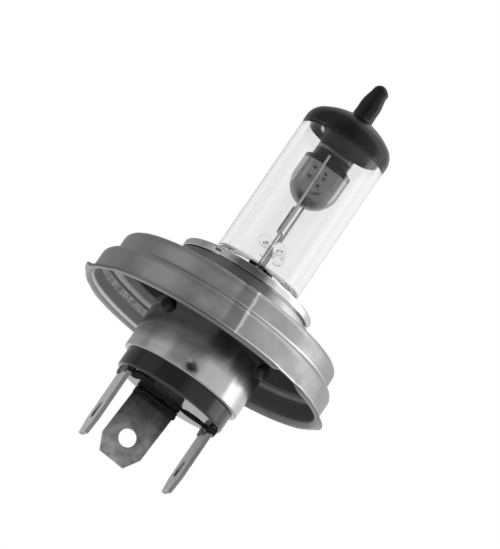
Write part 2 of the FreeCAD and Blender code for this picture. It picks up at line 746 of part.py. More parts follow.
# Outer leads: from the foils down, then across to the top of a blade.
def make_outer_lead(label, step, across, back):
    """Drawn in an upright plane through the lead's seat and the blade it serves."""
    turned = math.radians(-size("burner_turn"))
    seat_y = step * size("lead_pitch")
    seat = Vector(size("burner_shift") - seat_y * math.sin(turned), seat_y * math.cos(turned), 0)
    reach = Vector(size(across), size(back), 0) - seat
    blade_top = size("insulator_inside - shell_bottom + blade_top_stand")
    radius = size("lead_radius")
    bend = size("lead_bend")
    level = blade_top + radius + size("weld_gap")
    start = -size("foil_bottom")
    corner = Vector(0, 0, level + bend)
    across_start = Vector(bend, 0, level)
    mid = Vector(bend * (1 - math.sqrt(0.5)), 0, level + bend * (1 - math.sqrt(0.5)))
    path = Part.Wire([
        Part.LineSegment(Vector(0, 0, start), corner).toShape(),
        Part.Arc(corner, mid, across_start).toShape(),
        Part.LineSegment(across_start, Vector(reach.Length, 0, level)).toShape(),
    ])
    section = Part.Wire([Part.makeCircle(radius, Vector(0, 0, start), Vector(0, 0, -1))])
    wire = doc.addObject("Part::Feature", label)
    wire.Label = label
    wire.Shape = path.makePipeShell([section], True, True)
    wire.Placement = Placement(seat, Rotation(Vector(0, 0, 1), math.degrees(math.atan2(reach.y, reach.x))))


make_locating_ring()
make_base_shell()
make_retaining_collar()
for name, degrees in (("peg_left", -60.0), ("peg_right", 60.0), ("peg_back", 180.0)):
    make_peg(name, degrees)
make_insulator()
BLADES = (
    ("left", 90.0, "-side_blade_out", "0", -1),
    ("right", 90.0, "side_blade_out", "0", 0),
    ("back", 0.0, "0", "back_blade_out", 1),
)
for side, degrees, across, back, step in BLADES:
    make_blade("terminal_" + side, degrees, across, back)
    make_boss("root_seal_" + side, degrees, across, back)
    make_outer_lead("outer_lead_" + side, step, across, back)
make_quartz_envelope()
make_top_coating()
for name, step in (("foil_common", -1), ("foil_main", 0), ("foil_dipped", 1)):
    make_foil(name, step)
make_straight_lead("common_lead", -1, "foil_top", "shield_top")
make_straight_lead("main_beam_lead", 0, "foil_top", "main_lead_top")
make_dipped_lead()
make_bridge_rod("bridge_rod_left", -1)
make_bridge_rod("bridge_rod_right", 1)
make_shield()
make_coil("main_beam_filament", "main_coil_bottom", "main_coil_length", "-main_coil_shift", "0")
make_coil("dipped_beam_filament", "dipped_coil_bottom", "dipped_coil_length", "0", "dipped_coil_back")
make_filament_legs()
make_clip()
make_potting()

doc.recompute()
os.makedirs("parts", exist_ok=True)
for item in doc.Objects:
    if "Invalid" in item.State or "Error" in item.State:
        raise RuntimeError("%s failed: %s" % (item.Name, item.State))
pieces = [item for item in doc.Objects if item.TypeId in ("PartDesign::Body", "Part::Cylinder", "Part::Feature")]
for piece in pieces:
    if piece.Shape.isNull() or not piece.Shape.isValid():
        raise RuntimeError("%s has no valid shape" % piece.Label)
for piece in pieces:
    piece.Shape.exportStep(os.path.join("parts", piece.Label + ".step"))
    box = piece.Shape.BoundBox
    print("%-22s %2d solids %10.3f mm3  z %7.2f to %7.2f" % (
        piece.Label, len(piece.Shape.Solids), piece.Shape.Volume, box.ZMin, box.ZMax))
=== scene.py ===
import bmesh
import bpy
import math
from mathutils import Matrix, Vector, noise


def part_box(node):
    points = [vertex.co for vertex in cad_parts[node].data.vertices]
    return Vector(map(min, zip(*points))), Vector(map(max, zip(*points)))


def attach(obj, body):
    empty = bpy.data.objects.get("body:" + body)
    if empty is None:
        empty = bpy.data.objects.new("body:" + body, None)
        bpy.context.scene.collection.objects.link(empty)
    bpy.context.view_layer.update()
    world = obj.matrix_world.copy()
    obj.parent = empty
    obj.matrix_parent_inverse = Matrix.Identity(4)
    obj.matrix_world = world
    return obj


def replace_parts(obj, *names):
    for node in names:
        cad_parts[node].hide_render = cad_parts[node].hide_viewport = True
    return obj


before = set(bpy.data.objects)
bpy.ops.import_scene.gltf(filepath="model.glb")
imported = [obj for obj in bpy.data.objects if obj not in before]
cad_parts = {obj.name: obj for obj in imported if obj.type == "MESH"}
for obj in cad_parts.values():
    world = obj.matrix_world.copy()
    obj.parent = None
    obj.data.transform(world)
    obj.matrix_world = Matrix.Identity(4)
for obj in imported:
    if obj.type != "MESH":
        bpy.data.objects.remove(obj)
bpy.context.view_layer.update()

# Halogen headlight bulb.  Metres, the same frame as the CAD: +Z to the glass tip, -Y to the shield's back.
MM = 0.001
ROUND = 192            # segments round a turned piece
BODY = "root"
BURNER_TURN = 14.0     # how far the burner is turned about Z, degrees
CRIMPS = (-7.0, 113.0, 233.0)     # bearings of the base shell's crimps
VIEW_AZIMUTH, VIEW_ELEVATION, AXIS_LEAN = -8.0, -11.0, 34.4      # the camera's bearing and roll, degrees
RING_DROP, RING_TILT = 0.42, 0.0235       # how far the ring is set low, mm, and tipped, radians


# ---------- sizes taken from the frame
def low(node):
    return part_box(node)[0]


def high(node):
    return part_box(node)[1]


def middle(node):
    return (low(node) + high(node)) / 2


def half_width(node):
    return (high(node).x - low(node).x) / 2


HOLE_UP, HOLE_RADIUS = 4.5, 1.58       # the blades' detent hole above the blade's end, mm
GLASS_AXIS = Vector((middle("quartz_envelope").x, middle("quartz_envelope").y, 0.0))


# ---------- mesh helpers
def arc(cx, cz, radius, start, stop, count=8):
    """Points of an arc in the (radius, height) half plane; angles in degrees from the radius axis."""
    points = []
    for step in range(count + 1):
        angle = math.radians(start + (stop - start) * step / count)
        points.append((cx + radius * math.cos(angle), cz + radius * math.sin(angle)))
    return points


def add_piece(name, mesh, slot, *materials, smooth_angle=None):
    """Link a mesh as a smooth piece of the body."""
    mesh.polygons.foreach_set("use_smooth", [True] * len(mesh.polygons))
    if smooth_angle is not None:
        mesh.set_sharp_from_angle(angle=math.radians(smooth_angle))
    for material in materials:
        mesh.materials.append(material)
    piece = bpy.data.objects.new(name, mesh)
    bpy.context.scene.collection.objects.link(piece)
    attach(piece, BODY)
    return piece


def settled(name, bm):
    """A new mesh from an edit mesh, which is freed."""
    mesh = bpy.data.meshes.new(name)
    bm.to_mesh(mesh)
    bm.free()
    return mesh


def finish_mesh(name, vertices, faces, material, slot, smooth_angle=40.0, closed=True):
    mesh = bpy.data.meshes.new(name)
    mesh.from_pydata(vertices, [], faces)
    mesh.validate()
    bm = bmesh.new()
    bm.from_mesh(mesh)
    bmesh.ops.remove_doubles(bm, verts=bm.verts, dist=1e-7)
    bmesh.ops.dissolve_degenerate(bm, edges=bm.edges, dist=1e-8)
    if closed and bm.calc_volume(signed=True) < 0:
        bmesh.ops.reverse_faces(bm, faces=bm.faces)
    bm.to_mesh(mesh)
    bm.free()
    return add_piece(name, mesh, slot, material, smooth_angle=smooth_angle)


def lathe(name, profile, material, slot, shape=None, around=ROUND, centre=Vector(), smooth_angle=40.0):
    """Turn a closed (radius, height) profile in mm about Z; shape moves each (radius, angle, height)."""
    vertices, faces = [], []
    count = len(profile)
    for spoke in range(around):
        angle = 2 * math.pi * spoke / around
        for radius, height in profile:
            r, a, z = (radius, angle, height) if shape is None else shape(radius, angle, height)
            x, y = centre.x + r * MM * math.sin(a), centre.y - r * MM * math.cos(a)
            vertices.append((x, y, centre.z + z * MM))
    for spoke in range(around):
        here, there = spoke * count, (spoke + 1) % around * count
        for step in range(count):
            after = (step + 1) % count
            faces.append((here + step, here + after, there + after, there + step))
    return finish_mesh(name, vertices, faces, material, slot, smooth_angle)


def angle_gap(angle, degrees):
    """Signed distance in radians between an angle and a bearing, bearings counted from -Y towards +X."""
    gap = angle - math.radians(degrees)
    return (gap + math.pi) % (2 * math.pi) - math.pi


def bell(value, width):
    return math.exp(-(value / width) ** 2)


def plateau(value, half, soft):
    """1 inside half, fading to 0 over soft."""
    away = max(abs(value) - half, 0.0) / soft
    return max(0.0, 1.0 - away) ** 2 * (1 + 2 * min(away, 1.0)) if away < 1 else 0.0


# ---------- material helpers
class Nodes:
    """A short way to build one node material."""

    def __init__(self, name, **settings):
        self.material = bpy.data.materials.new(name)
        self.material.use_nodes = True
        self.tree = self.material.node_tree
        self.shader = self.tree.nodes["Principled BSDF"]
        for key, value in settings.items():
            self.shader.inputs[key.replace("_", " ")].default_value = value
        self.place = self.add("ShaderNodeTexCoord").outputs["Object"]

    def add(self, kind, **settings):
        node = self.tree.nodes.new(kind)
        for key, value in settings.items():
            setattr(node, key, value)
        return node

    def link(self, source, target):
        self.tree.links.new(source, target)

    def stretched(self, scale):
        node = self.add("ShaderNodeMapping")
        node.inputs["Scale"].default_value = scale
        self.link(self.place, node.inputs["Vector"])
        return node.outputs["Vector"]

    def noise(self, scale, detail=4.0, rough=0.55, stretch=None, distortion=0.0):
        node = self.add("ShaderNodeTexNoise")
        node.inputs["Scale"].default_value = scale
        node.inputs["Detail"].default_value = detail
        node.inputs["Roughness"].default_value = rough
        node.inputs["Distortion"].default_value = distortion
        self.link(self.stretched(stretch) if stretch else self.place, node.inputs["Vector"])
        return node.outputs["Fac"]

    def ramp(self, source, stops):
        node = self.add("ShaderNodeValToRGB")
        elements = node.color_ramp.elements
        while len(elements) < len(stops):
            elements.new(0.5)
        for element, (position, level) in zip(elements, stops):
            element.position = position
            element.color = (level, level, level, 1.0) if not isinstance(level, tuple) else level
        self.link(source, node.inputs["Fac"])
        return node.outputs["Color"]

    def math(self, operation, first, second=0.5, third=None):
        node = self.add("ShaderNodeMath", operation=operation)
        for socket, value in zip(node.inputs, (first, second, third)):
            if value is None:
                continue
            if isinstance(value, (int, float)):
                socket.default_value = value
            else:
                self.link(value, socket)
        return node.outputs["Value"]

    def mix(self, factor, first, second, blend="MIX"):
        node = self.add("ShaderNodeMix", data_type="RGBA", blend_type=blend)
        for key, value in (("Factor", factor), ("A", first), ("B", second)):
            socket = [item for item in node.inputs if item.name == key and item.enabled][0]
            if isinstance(value, (int, float)):
                socket.default_value = value if key == "Factor" else (value, value, value, 1.0)
            elif isinstance(value, tuple):
                socket.default_value = value
            else:
                self.link(value, socket)
        return [item for item in node.outputs if item.enabled][0]

    def axis(self, name):
        node = self.add("ShaderNodeSeparateXYZ")
        self.link(self.place, node.inputs["Vector"])
        return node.outputs[name]

    def along(self, name, scale, start=0.0):
        """A coordinate scaled and moved to suit a ramp."""
        return self.math("MULTIPLY_ADD", self.axis(name), scale, start)

    def paint(self, tone, mask, colour, amount=1.0):
        """The tone with a colour laid over it where the mask is 1."""
        return self.mix(mask if amount == 1.0 else self.math("MULTIPLY", mask, amount), tone, colour)

    def jittered(self, amount, scale, detail=3.0):
        """The object's coordinates, moved about by noise so that painted edges turn ragged."""
        cloud = self.add("ShaderNodeTexNoise")
        cloud.inputs["Scale"].default_value = scale
        cloud.inputs["Detail"].default_value = detail
        self.link(self.place, cloud.inputs["Vector"])
        centred = self.add("ShaderNodeVectorMath", operation="SUBTRACT")
        self.link(cloud.outputs["Color"], centred.inputs[0])
        centred.inputs[1].default_value = (0.5, 0.5, 0.5)
        scaled = self.add("ShaderNodeVectorMath", operation="SCALE")
        self.link(centred.outputs["Vector"], scaled.inputs[0])
        scaled.inputs["Scale"].default_value = amount
        moved = self.add("ShaderNodeVectorMath", operation="ADD")
        self.link(self.place, moved.inputs[0])
        self.link(scaled.outputs["Vector"], moved.inputs[1])
        return moved.outputs["Vector"]

    def spot(self, centre, reach, turn=0.0, soft=0.5, place=None):
        """1 inside an ellipsoid about a centre, fading to 0 at its edge; sizes in mm, turn about Y."""
        frame_node = self.add("ShaderNodeMapping", vector_type="TEXTURE")
        frame_node.inputs["Location"].default_value = [value * MM for value in centre]
        frame_node.inputs["Rotation"].default_value = (0.0, math.radians(turn), 0.0)
        frame_node.inputs["Scale"].default_value = [value * MM for value in reach]
        self.link(self.place if place is None else place, frame_node.inputs["Vector"])
        length = self.add("ShaderNodeVectorMath", operation="LENGTH")
        self.link(frame_node.outputs["Vector"], length.inputs[0])
        return self.ramp(length.outputs["Value"], [(1.0 - soft, 1.0), (1.0, 0.0)])

    def bump(self, height, strength, distance):
        node = self.add("ShaderNodeBump")
        node.inputs["Strength"].default_value = strength
        node.inputs["Distance"].default_value = distance
        self.link(height, node.inputs["Height"])
        self.link(node.outputs["Normal"], self.shader.inputs["Normal"])

    def drive(self, socket, source):
        self.link(source, self.shader.inputs[socket])

    def vary(self, socket, least, most, *cloud, span=(0.3, 0.7)):
        """Let a noise drive a socket between two values."""
        self.drive(socket, self.ramp(self.noise(*cloud), [(span[0], least), (span[1], most)]))


def plated_steel(name, dark, light, rough_low, rough_high, fine=900.0, drawn=(1.0, 1.0, 1.0), bump=0.00002):
    """Plated steel: clouded tone, fine drawing lines and small pits."""
    nodes = Nodes(name, Metallic=1.0)
    cloud = nodes.noise(180.0, 4.0, 0.55)
    grain = nodes.noise(fine, 3.0, 0.6, stretch=drawn)
    tones = [(0.3, dark), (0.7, light)]
    tone = nodes.mix(0.35, nodes.ramp(cloud, tones), nodes.ramp(grain, tones))
    nodes.vary("Roughness", rough_low, rough_high, 400.0, 3.0)
    nodes.bump(grain, 0.2, bump)
    return nodes, tone


def ring_level(nodes):
    """Height on the tipped ring itself: 0.6 at the step under the pilot wall, 0.1 for each mm."""
    tipped = nodes.along("Y", RING_TILT, nodes.axis("Z"))
    return nodes.math("MULTIPLY_ADD", tipped, 100.0, 0.6 + RING_DROP / 10)


def ring_steel(name):
    """Dull zinc plate with painted light: a painted highlight line up both walls with a painted dark
    reflection to its left, painted highlights on the bends, and painted shade on the lip, in the neck and on
    both far sides.
    """
    nodes, tone = plated_steel(name, 0.34, 0.48, 0.30, 0.42, bump=0.00001)
    ragged = nodes.jittered(0.0009, 900.0)
    # a painted highlight line up both walls, and a painted dark reflection to its left
    painted_highlight_line = nodes.spot((-0.3, -22.0, 0.0), (0.40, 6.0, 60.0), place=ragged, soft=0.6)
    painted_reflection_patch = nodes.spot((-1.9, -22.0, 0.0), (1.5, 6.0, 60.0), place=ragged, soft=0.35)
    tone = nodes.paint(tone, painted_reflection_patch, 0.14, 0.45)
    tone = nodes.paint(tone, painted_highlight_line, 0.85, 0.85)
    level = ring_level(nodes)
    across = nodes.along("X", 40.0, 0.5)
    right = nodes.ramp(across, [(0.26, 0.15), (0.74, 1.0)])
    fade = 0.008
    # painted highlights along the two bends, strong on the right and fading to the left
    for under, over in ((0.137, 0.170), (0.618, 0.652)):
        bend_painted_highlight = nodes.ramp(level, [(under, 0.0), (under + fade, 1.0), (over - fade, 1.0), (over, 0.0)])
        tone = nodes.paint(tone, nodes.math("MULTIPLY", bend_painted_highlight, right), 0.85)
    # painted shade on the lip, deeper on the near side
    lip = nodes.ramp(nodes.along("Y", 50.0, 0.5), [(0.4, 0.17), (0.6, 0.30)])
    tone = nodes.paint(tone, nodes.ramp(level, [(0.128, 1.0), (0.137, 0.0)]), lip)
    # painted shade in the neck under the collar, lighter towards the right where it catches the light
    neck_painted_shade = nodes.ramp(across, [(0.56, 0.12), (0.66, 0.55)])
    tone = nodes.paint(tone, nodes.ramp(nodes.along("Z", 100.0), [(0.40, 0.0), (0.47, 0.8)]), neck_painted_shade)
    # painted shade on the left of the ring
    tone = nodes.paint(tone, nodes.ramp(nodes.along("X", -40.0), [(0.24, 0.0), (0.40, 0.55)]), 0.22)
    # painted shade that tones down the reflection on the far right
    far_right_painted_shade = nodes.ramp(nodes.along("X", 40.0), [(0.40, 0.0), (0.64, 0.5)])
    nodes.drive("Base Color", nodes.paint(tone, far_right_painted_shade, 0.17))
    return nodes.material


def ring_inside(name):
    """The ring's inner faces: painted highlight bands at the step and at the lip's turn, a speckled painted
    reflection on the shoulder and painted dark lines, on the open side; darker towards the right.
    """
    nodes = Nodes(name)
    level = ring_level(nodes)
    # painted highlight bands and painted dark lines up the inside, by height
    walls = nodes.ramp(level, [
        (0.105, 0.30), (0.115, 1.0), (0.155, 1.0), (0.17, 0.42), (0.455, 0.42), (0.47, 0.2),
        (0.485, 0.05), (0.50, 0.2), (0.52, 0.60), (0.66, 0.55), (0.69, 0.1)])
    # a speckled painted reflection on the shoulder
    shoulder_painted_reflection = nodes.ramp(nodes.noise(1300.0, 4.0, 0.7), [(0.36, 0.40), (0.56, 0.95)])
    shoulder = nodes.ramp(level, [(0.33, 0.0), (0.35, 1.0), (0.450, 1.0), (0.465, 0.0)])
    # the painted light is laid on the left; the right stays dark
    left = nodes.ramp(nodes.along("X", -250.0), [(0.0, 0.0), (1.0, 1.0)])
    nodes.drive("Base Color", nodes.mix(left, 0.15, nodes.mix(shoulder, walls, shoulder_painted_reflection)))
    nodes.drive("Metallic", nodes.ramp(left, [(0.0, 0.6), (1.0, 0.25)]))
    nodes.vary("Roughness", 0.35, 0.5, 500.0)
    return nodes.material


def collar_steel(name):
    """Bright steel, with a painted dark reflection and a painted highlight across the front of its rim."""
    nodes, tone = plated_steel(name, 0.50, 0.64, 0.14, 0.24)
    across = nodes.along("X", 40.0, 0.5)
    # a painted dark reflection across the front of the rim, and a painted highlight to its right
    painted_dark_reflection = nodes.ramp(across, [(0.27, 0.0), (0.31, 0.9), (0.50, 0.9), (0.55, 0.0)])
    painted_highlight = nodes.ramp(across, [(0.57, 0.0), (0.61, 1.0), (0.80, 1.0), (0.84, 0.0)])
    front = nodes.ramp(nodes.along("Y", -100.0), [(0.6, 0.0), (0.8, 1.0)])
    for painted_reflection_patch, colour in ((painted_dark_reflection, 0.20), (painted_highlight, 0.98)):
        tone = nodes.paint(tone, nodes.math("MULTIPLY", painted_reflection_patch, front), colour)
    nodes.drive("Base Color", tone)
    return nodes.material


def shell_steel(name):
    """Brighter drawn steel, with painted shade above where it stands inside the ring, along its bottom edge
    and in its crimps.
    """
    nodes, tone = plated_steel(name, 0.50, 0.62, 0.14, 0.24, drawn=(1.0, 1.0, 0.08))
    # painted shade over the upper part, where it stands inside the ring
    height = nodes.math("MULTIPLY_ADD", nodes.noise(260.0, 3.0), 0.0012, nodes.axis("Z"))
    slanted = nodes.along("X", -0.16, height)
    scaled = nodes.math("MULTIPLY_ADD", slanted, 100.0, 1.3)
    tone = nodes.paint(tone, nodes.ramp(scaled, [(0.43, 0.0), (0.60, 1.0)]), 0.27)
    # painted shade along the bottom edge
    tone = nodes.paint(tone, nodes.ramp(nodes.along("Z", -50.0), [(0.607, 0.0), (0.614, 0.6)]), 0.12)
    for bearing in CRIMPS:
        turn = math.radians(bearing)
        # painted shade in each crimp's dent
        crimp_painted_shade = nodes.spot((11 * math.sin(turn), -11 * math.cos(turn), -11.1), (1.35, 1.35, 1.15), soft=0.5)
        tone = nodes.paint(tone, crimp_painted_shade, 0.03, 0.92)
    nodes.drive("Base Color", tone)
    return nodes.material


def plain_steel(name, dark, light, rough_low, rough_high):
    nodes, tone = plated_steel(name, dark, light, rough_low, rough_high)
    nodes.drive("Base Color", tone)
    return nodes.material


def clear_quartz(name, tint, ior=1.46):
    """Clear quartz with faint drawing lines along the tube."""
    nodes = Nodes(name, Metallic=0.0, IOR=ior, Transmission_Weight=1.0)
    lines = nodes.noise(700.0, 2.0, 0.5, stretch=(1.0, 1.0, 0.03))
    nodes.drive("Base Color", nodes.ramp(lines, [(0.2, tint), (0.8, min(tint + 0.02, 1.0))]))
    nodes.vary("Roughness", 0.0, 0.01, 300.0, span=(0.4, 0.9))
    return nodes.material


def black_moulding(name):
    """Glossy black moulding with faint flow marks."""
    nodes = Nodes(name, IOR=1.5)
    nodes.vary("Base Color", 0.006, 0.012, 400.0)
    nodes.vary("Roughness", 0.06, 0.14, 260.0, 5.0, span=(0.3, 0.75))
    nodes.bump(nodes.noise(900.0, 3.0), 0.08, 0.00002)
    return nodes.material


def sealing_compound(name, gloss, rough):
    """Uneven black sealing compound, part glossier and part matt."""
    nodes = Nodes(name, IOR=1.5, Specular_IOR_Level=gloss)
    patches = nodes.noise(500.0, 5.0, 0.65)
    nodes.drive("Base Color", nodes.ramp(patches, [(0.45, 0.004), (0.75, 0.02)]))
    nodes.drive("Roughness", nodes.ramp(patches, [(0.35, rough), (0.7, rough + 0.35)]))
    nodes.bump(nodes.noise(1400.0, 5.0, 0.7), 0.5, 0.0001)
    return nodes.material


def black_lacquer(name):
    """Opaque black lacquer burnt onto quartz, a little uneven."""
    nodes = Nodes(name, IOR=1.45, Specular_IOR_Level=0.3)
    nodes.vary("Base Color", 0.005, 0.009, 350.0, 5.0)
    nodes.vary("Roughness", 0.16, 0.34, 300.0, 4.0)
    nodes.bump(nodes.noise(1200.0, 4.0, 0.6), 0.12, 0.00003)
    return nodes.material


def lacquer_from_within(name):
    """The lacquer as it shows through the quartz from within: near black, with one pale painted glint."""
    nodes = Nodes(name, IOR=1.45, Specular_IOR_Level=0.25)
    dark = nodes.ramp(nodes.noise(350.0, 5.0), [(0.3, 0.012), (0.7, 0.024)])
    # a pale painted glint on the inside of the coat
    painted_glint = nodes.spot((-3.7, 5.2, 37.6), (0.75, 1.5, 0.4), turn=25.0)
    nodes.drive("Base Color", nodes.mix(painted_glint, dark, 0.98))
    nodes.drive("Metallic", painted_glint)
    nodes.vary("Roughness", 0.4, 0.6, 300.0, 4.0)
    return nodes.material


def blade_metal(name, node, stained):
    """Tinned blade: satin, or mottled and darkened towards its root when stained; painted shade inside its
    hole.
    """
    nodes = Nodes(name, Metallic=0.85)
    grain = nodes.noise(1500.0, 4.0, 0.6, stretch=(1.0, 1.0, 0.35))
    if stained:
        tip = low(node).z
        span = low("insulator").z - tip
        height = nodes.math("DIVIDE", nodes.math("SUBTRACT", nodes.axis("Z"), tip), span)
        shade = nodes.ramp(height, [(0.0, 0.46), (0.45, 0.32), (0.72, 0.11), (0.92, 0.03)])
        spots = nodes.ramp(nodes.noise(330.0, 5.0, 0.62), [(0.36, 0.5), (0.64, 1.3)])
        tone = nodes.mix(1.0, shade, spots, "MULTIPLY")
        tone = nodes.mix(0.2, tone, nodes.ramp(grain, [(0.3, 0.04), (0.7, 0.2)]))
        nodes.vary("Roughness", 0.35, 0.55, 400.0, 4.0)
    else:
        patches = nodes.noise(380.0, 5.0, 0.6)
        tone = nodes.mix(0.5, nodes.ramp(patches, [(0.3, 0.54), (0.65, 0.68)]),
                         nodes.ramp(grain, [(0.3, 0.54), (0.7, 0.66)]))
        stains = nodes.ramp(nodes.noise(900.0, 4.0, 0.7), [(0.60, 0.0), (0.72, 0.7)])
        tone = nodes.paint(tone, stains, 0.22)
        # painted shade inside the detent hole
        centre, reach = middle(node) / MM, HOLE_RADIUS + 0.08
        hole = nodes.spot((centre.x, centre.y, low(node).z / MM + HOLE_UP), (9.0, reach, reach), soft=0.06)
        tone = nodes.paint(tone, hole, 0.03)
        nodes.drive("Roughness", nodes.ramp(patches, [(0.3, 0.32), (0.7, 0.5)]))
    nodes.drive("Base Color", tone)
    nodes.bump(grain, 0.2, 0.00003)
    return nodes.material


def shield_metal(name):
    """Pressed molybdenum sheet: weld spots along the lead, a scratch, painted highlights and a painted dark
    line along its side bends, and painted shade over the folds above.
    """
    nodes = Nodes(name, Metallic=1.0)
    cloud = nodes.noise(600.0, 4.0, 0.6)
    tone = nodes.ramp(cloud, [(0.3, 0.15), (0.7, 0.21)])
    across = nodes.along("X", 100.0, 0.5)
    # painted highlight on the left bend with a painted dark line inside it, and painted highlights on the
    # right bend
    for stops, colour in (([(0.138, 1.0), (0.148, 0.0)], 0.36),
                          ([(0.138, 0.0), (0.146, 0.8), (0.154, 0.8), (0.162, 0.0)], 0.05),
                          ([(0.70, 0.0), (0.74, 1.0)], 0.23), ([(0.80, 0.0), (0.83, 1.0)], 0.36)):
        tone = nodes.paint(tone, nodes.ramp(across, stops), colour)
    ragged = nodes.jittered(0.0003, 2500.0)
    for side, up in ((-1.98, 29.7), (-0.98, 28.85), (0.03, 29.7), (0.2, 28.85), (-1.98, 28.0),
                     (-0.98, 27.7), (0.03, 27.3)):
        mark = nodes.spot((side, -3.2, up), (0.44, 9.0, 0.40), place=ragged)
        tone = nodes.paint(tone, mark, 0.02, 0.9)
    scratch = nodes.spot((0.55, -3.2, 26.15), (1.35, 9.0, 0.27), turn=-33.0)
    tone = nodes.paint(tone, scratch, 0.03, 0.85)
    tone = nodes.paint(tone, nodes.spot((1.05, -3.2, 24.6), (0.36, 9.0, 0.36)), 0.04, 0.7)
    rise = nodes.along("Z", 200.0, -6.0)
    # painted shade over the fold, the right edge kept lighter as if lit
    above = nodes.ramp(rise, [(0.17, 0.0), (0.20, 1.0)])
    inner = nodes.ramp(across, [(0.79, 1.0), (0.83, 0.35)])
    tone = nodes.paint(tone, nodes.math("MULTIPLY", above, inner), 0.006)
    nodes.drive("Base Color", nodes.paint(tone, nodes.ramp(rise, [(0.73, 0.0), (0.78, 1.0)]), 0.15))
    nodes.vary("Roughness", 0.26, 0.36, 900.0)
    nodes.bump(nodes.noise(2500.0, 3.0), 0.12, 0.00001)
    return nodes.material


def wire_metal(name, dark, light, rough):
    nodes = Nodes(name, Metallic=1.0)
    grain = nodes.noise(2600.0, 3.0, 0.6, stretch=(1.0, 1.0, 0.1))
    nodes.drive("Base Color", nodes.ramp(grain, [(0.3, dark), (0.7, light)]))
    nodes.vary("Roughness", rough, rough + 0.15, 1200.0)
    return nodes.material


def cement(name):
    nodes = Nodes(name, IOR=1.45)
    nodes.vary("Base Color", 0.34, 0.5, 700.0, 6.0, 0.7)
    nodes.vary("Roughness", 0.8, 0.95, 900.0)
    nodes.bump(nodes.noise(2200.0, 5.0, 0.7), 0.6, 0.00008)
    return nodes.material


RING_STEEL = ring_steel("ring_steel_with_painted_light")
RING_INSIDE = ring_inside("ring_inside_with_painted_light")
SHELL_STEEL = shell_steel("base_steel_with_painted_shade")
COLLAR_STEEL = collar_steel("collar_steel_with_painted_reflections")
CLIP_STEEL = plain_steel("clip_steel_finish", 0.50, 0.64, 0.14, 0.24)
PEG_STEEL = plain_steel("peg_steel_finish", 0.03, 0.06, 0.45, 0.6)
INSULATOR = black_moulding("insulator_finish")
COMPOUND = sealing_compound("root_seal_finish", 0.25, 0.2)
SMEARED = sealing_compound("smeared_seal_finish", 0.04, 0.6)
LACQUER = black_lacquer("black_coating_finish")
QUARTZ = clear_quartz("quartz_finish", 0.89, ior=1.36)
INSIDE_LACQUER = lacquer_from_within("lacquer_inside_with_painted_glint")
BRIDGE_QUARTZ = clear_quartz("bridge_quartz_finish", 0.97)
LEFT_BLADE = blade_metal("left_blade_with_painted_hole_shade", "terminal_left", False)
RIGHT_BLADE = blade_metal("right_blade_with_painted_hole_shade", "terminal_right", False)
BACK_BLADE = blade_metal("stained_blade_finish", "terminal_back", True)
SHIELD = shield_metal("shield_metal_with_painted_light")
TUNGSTEN = wire_metal("tungsten_finish", 0.10, 0.22, 0.35)
LEAD = wire_metal("lead_metal_finish", 0.26, 0.42, 0.3)
CUT_EDGE = plain_steel("blade_edge_finish", 0.16, 0.24, 0.35, 0.5)
CEMENT = cement("cement_finish")


# ---------- locating ring
def settle(radius, angle, height):
    """The ring and its collar are set on the shell a little low and tipped towards the shield's open side."""
    return height - RING_DROP + RING_TILT * radius * math.cos(angle)


# Height of the lip's edge, mm, by bearing from the camera's side (+ to the right).
LIP_EDGE = [(-180, -6.25), (-155, -6.35), (-140, -6.3), (-125, -6.2), (-112, -5.75), (-100, -5.0),
            (-90, -4.8), (-82, -5.5), (-74, -6.1), (-62, -5.96), (-50, -5.52), (-38, -5.37), (-15, -5.36),
            (0, -5.28), (20, -5.2), (40, -5.3), (52, -5.53), (62, -5.76), (72, -6.1), (82, -6.0),
            (90, -5.75), (105, -5.45), (120, -5.74), (140, -5.93), (160, -6.1), (180, -6.25)]


def eased(table, place):
    """A smooth curve through a table of (place, value)."""
    for (first, low_value), (second, high_value) in zip(table, table[1:]):
        if first <= place <= second:
            share = (place - first) / (second - first)
            return low_value + (high_value - low_value) * share * share * (3 - 2 * share)
    return table[-1][1]


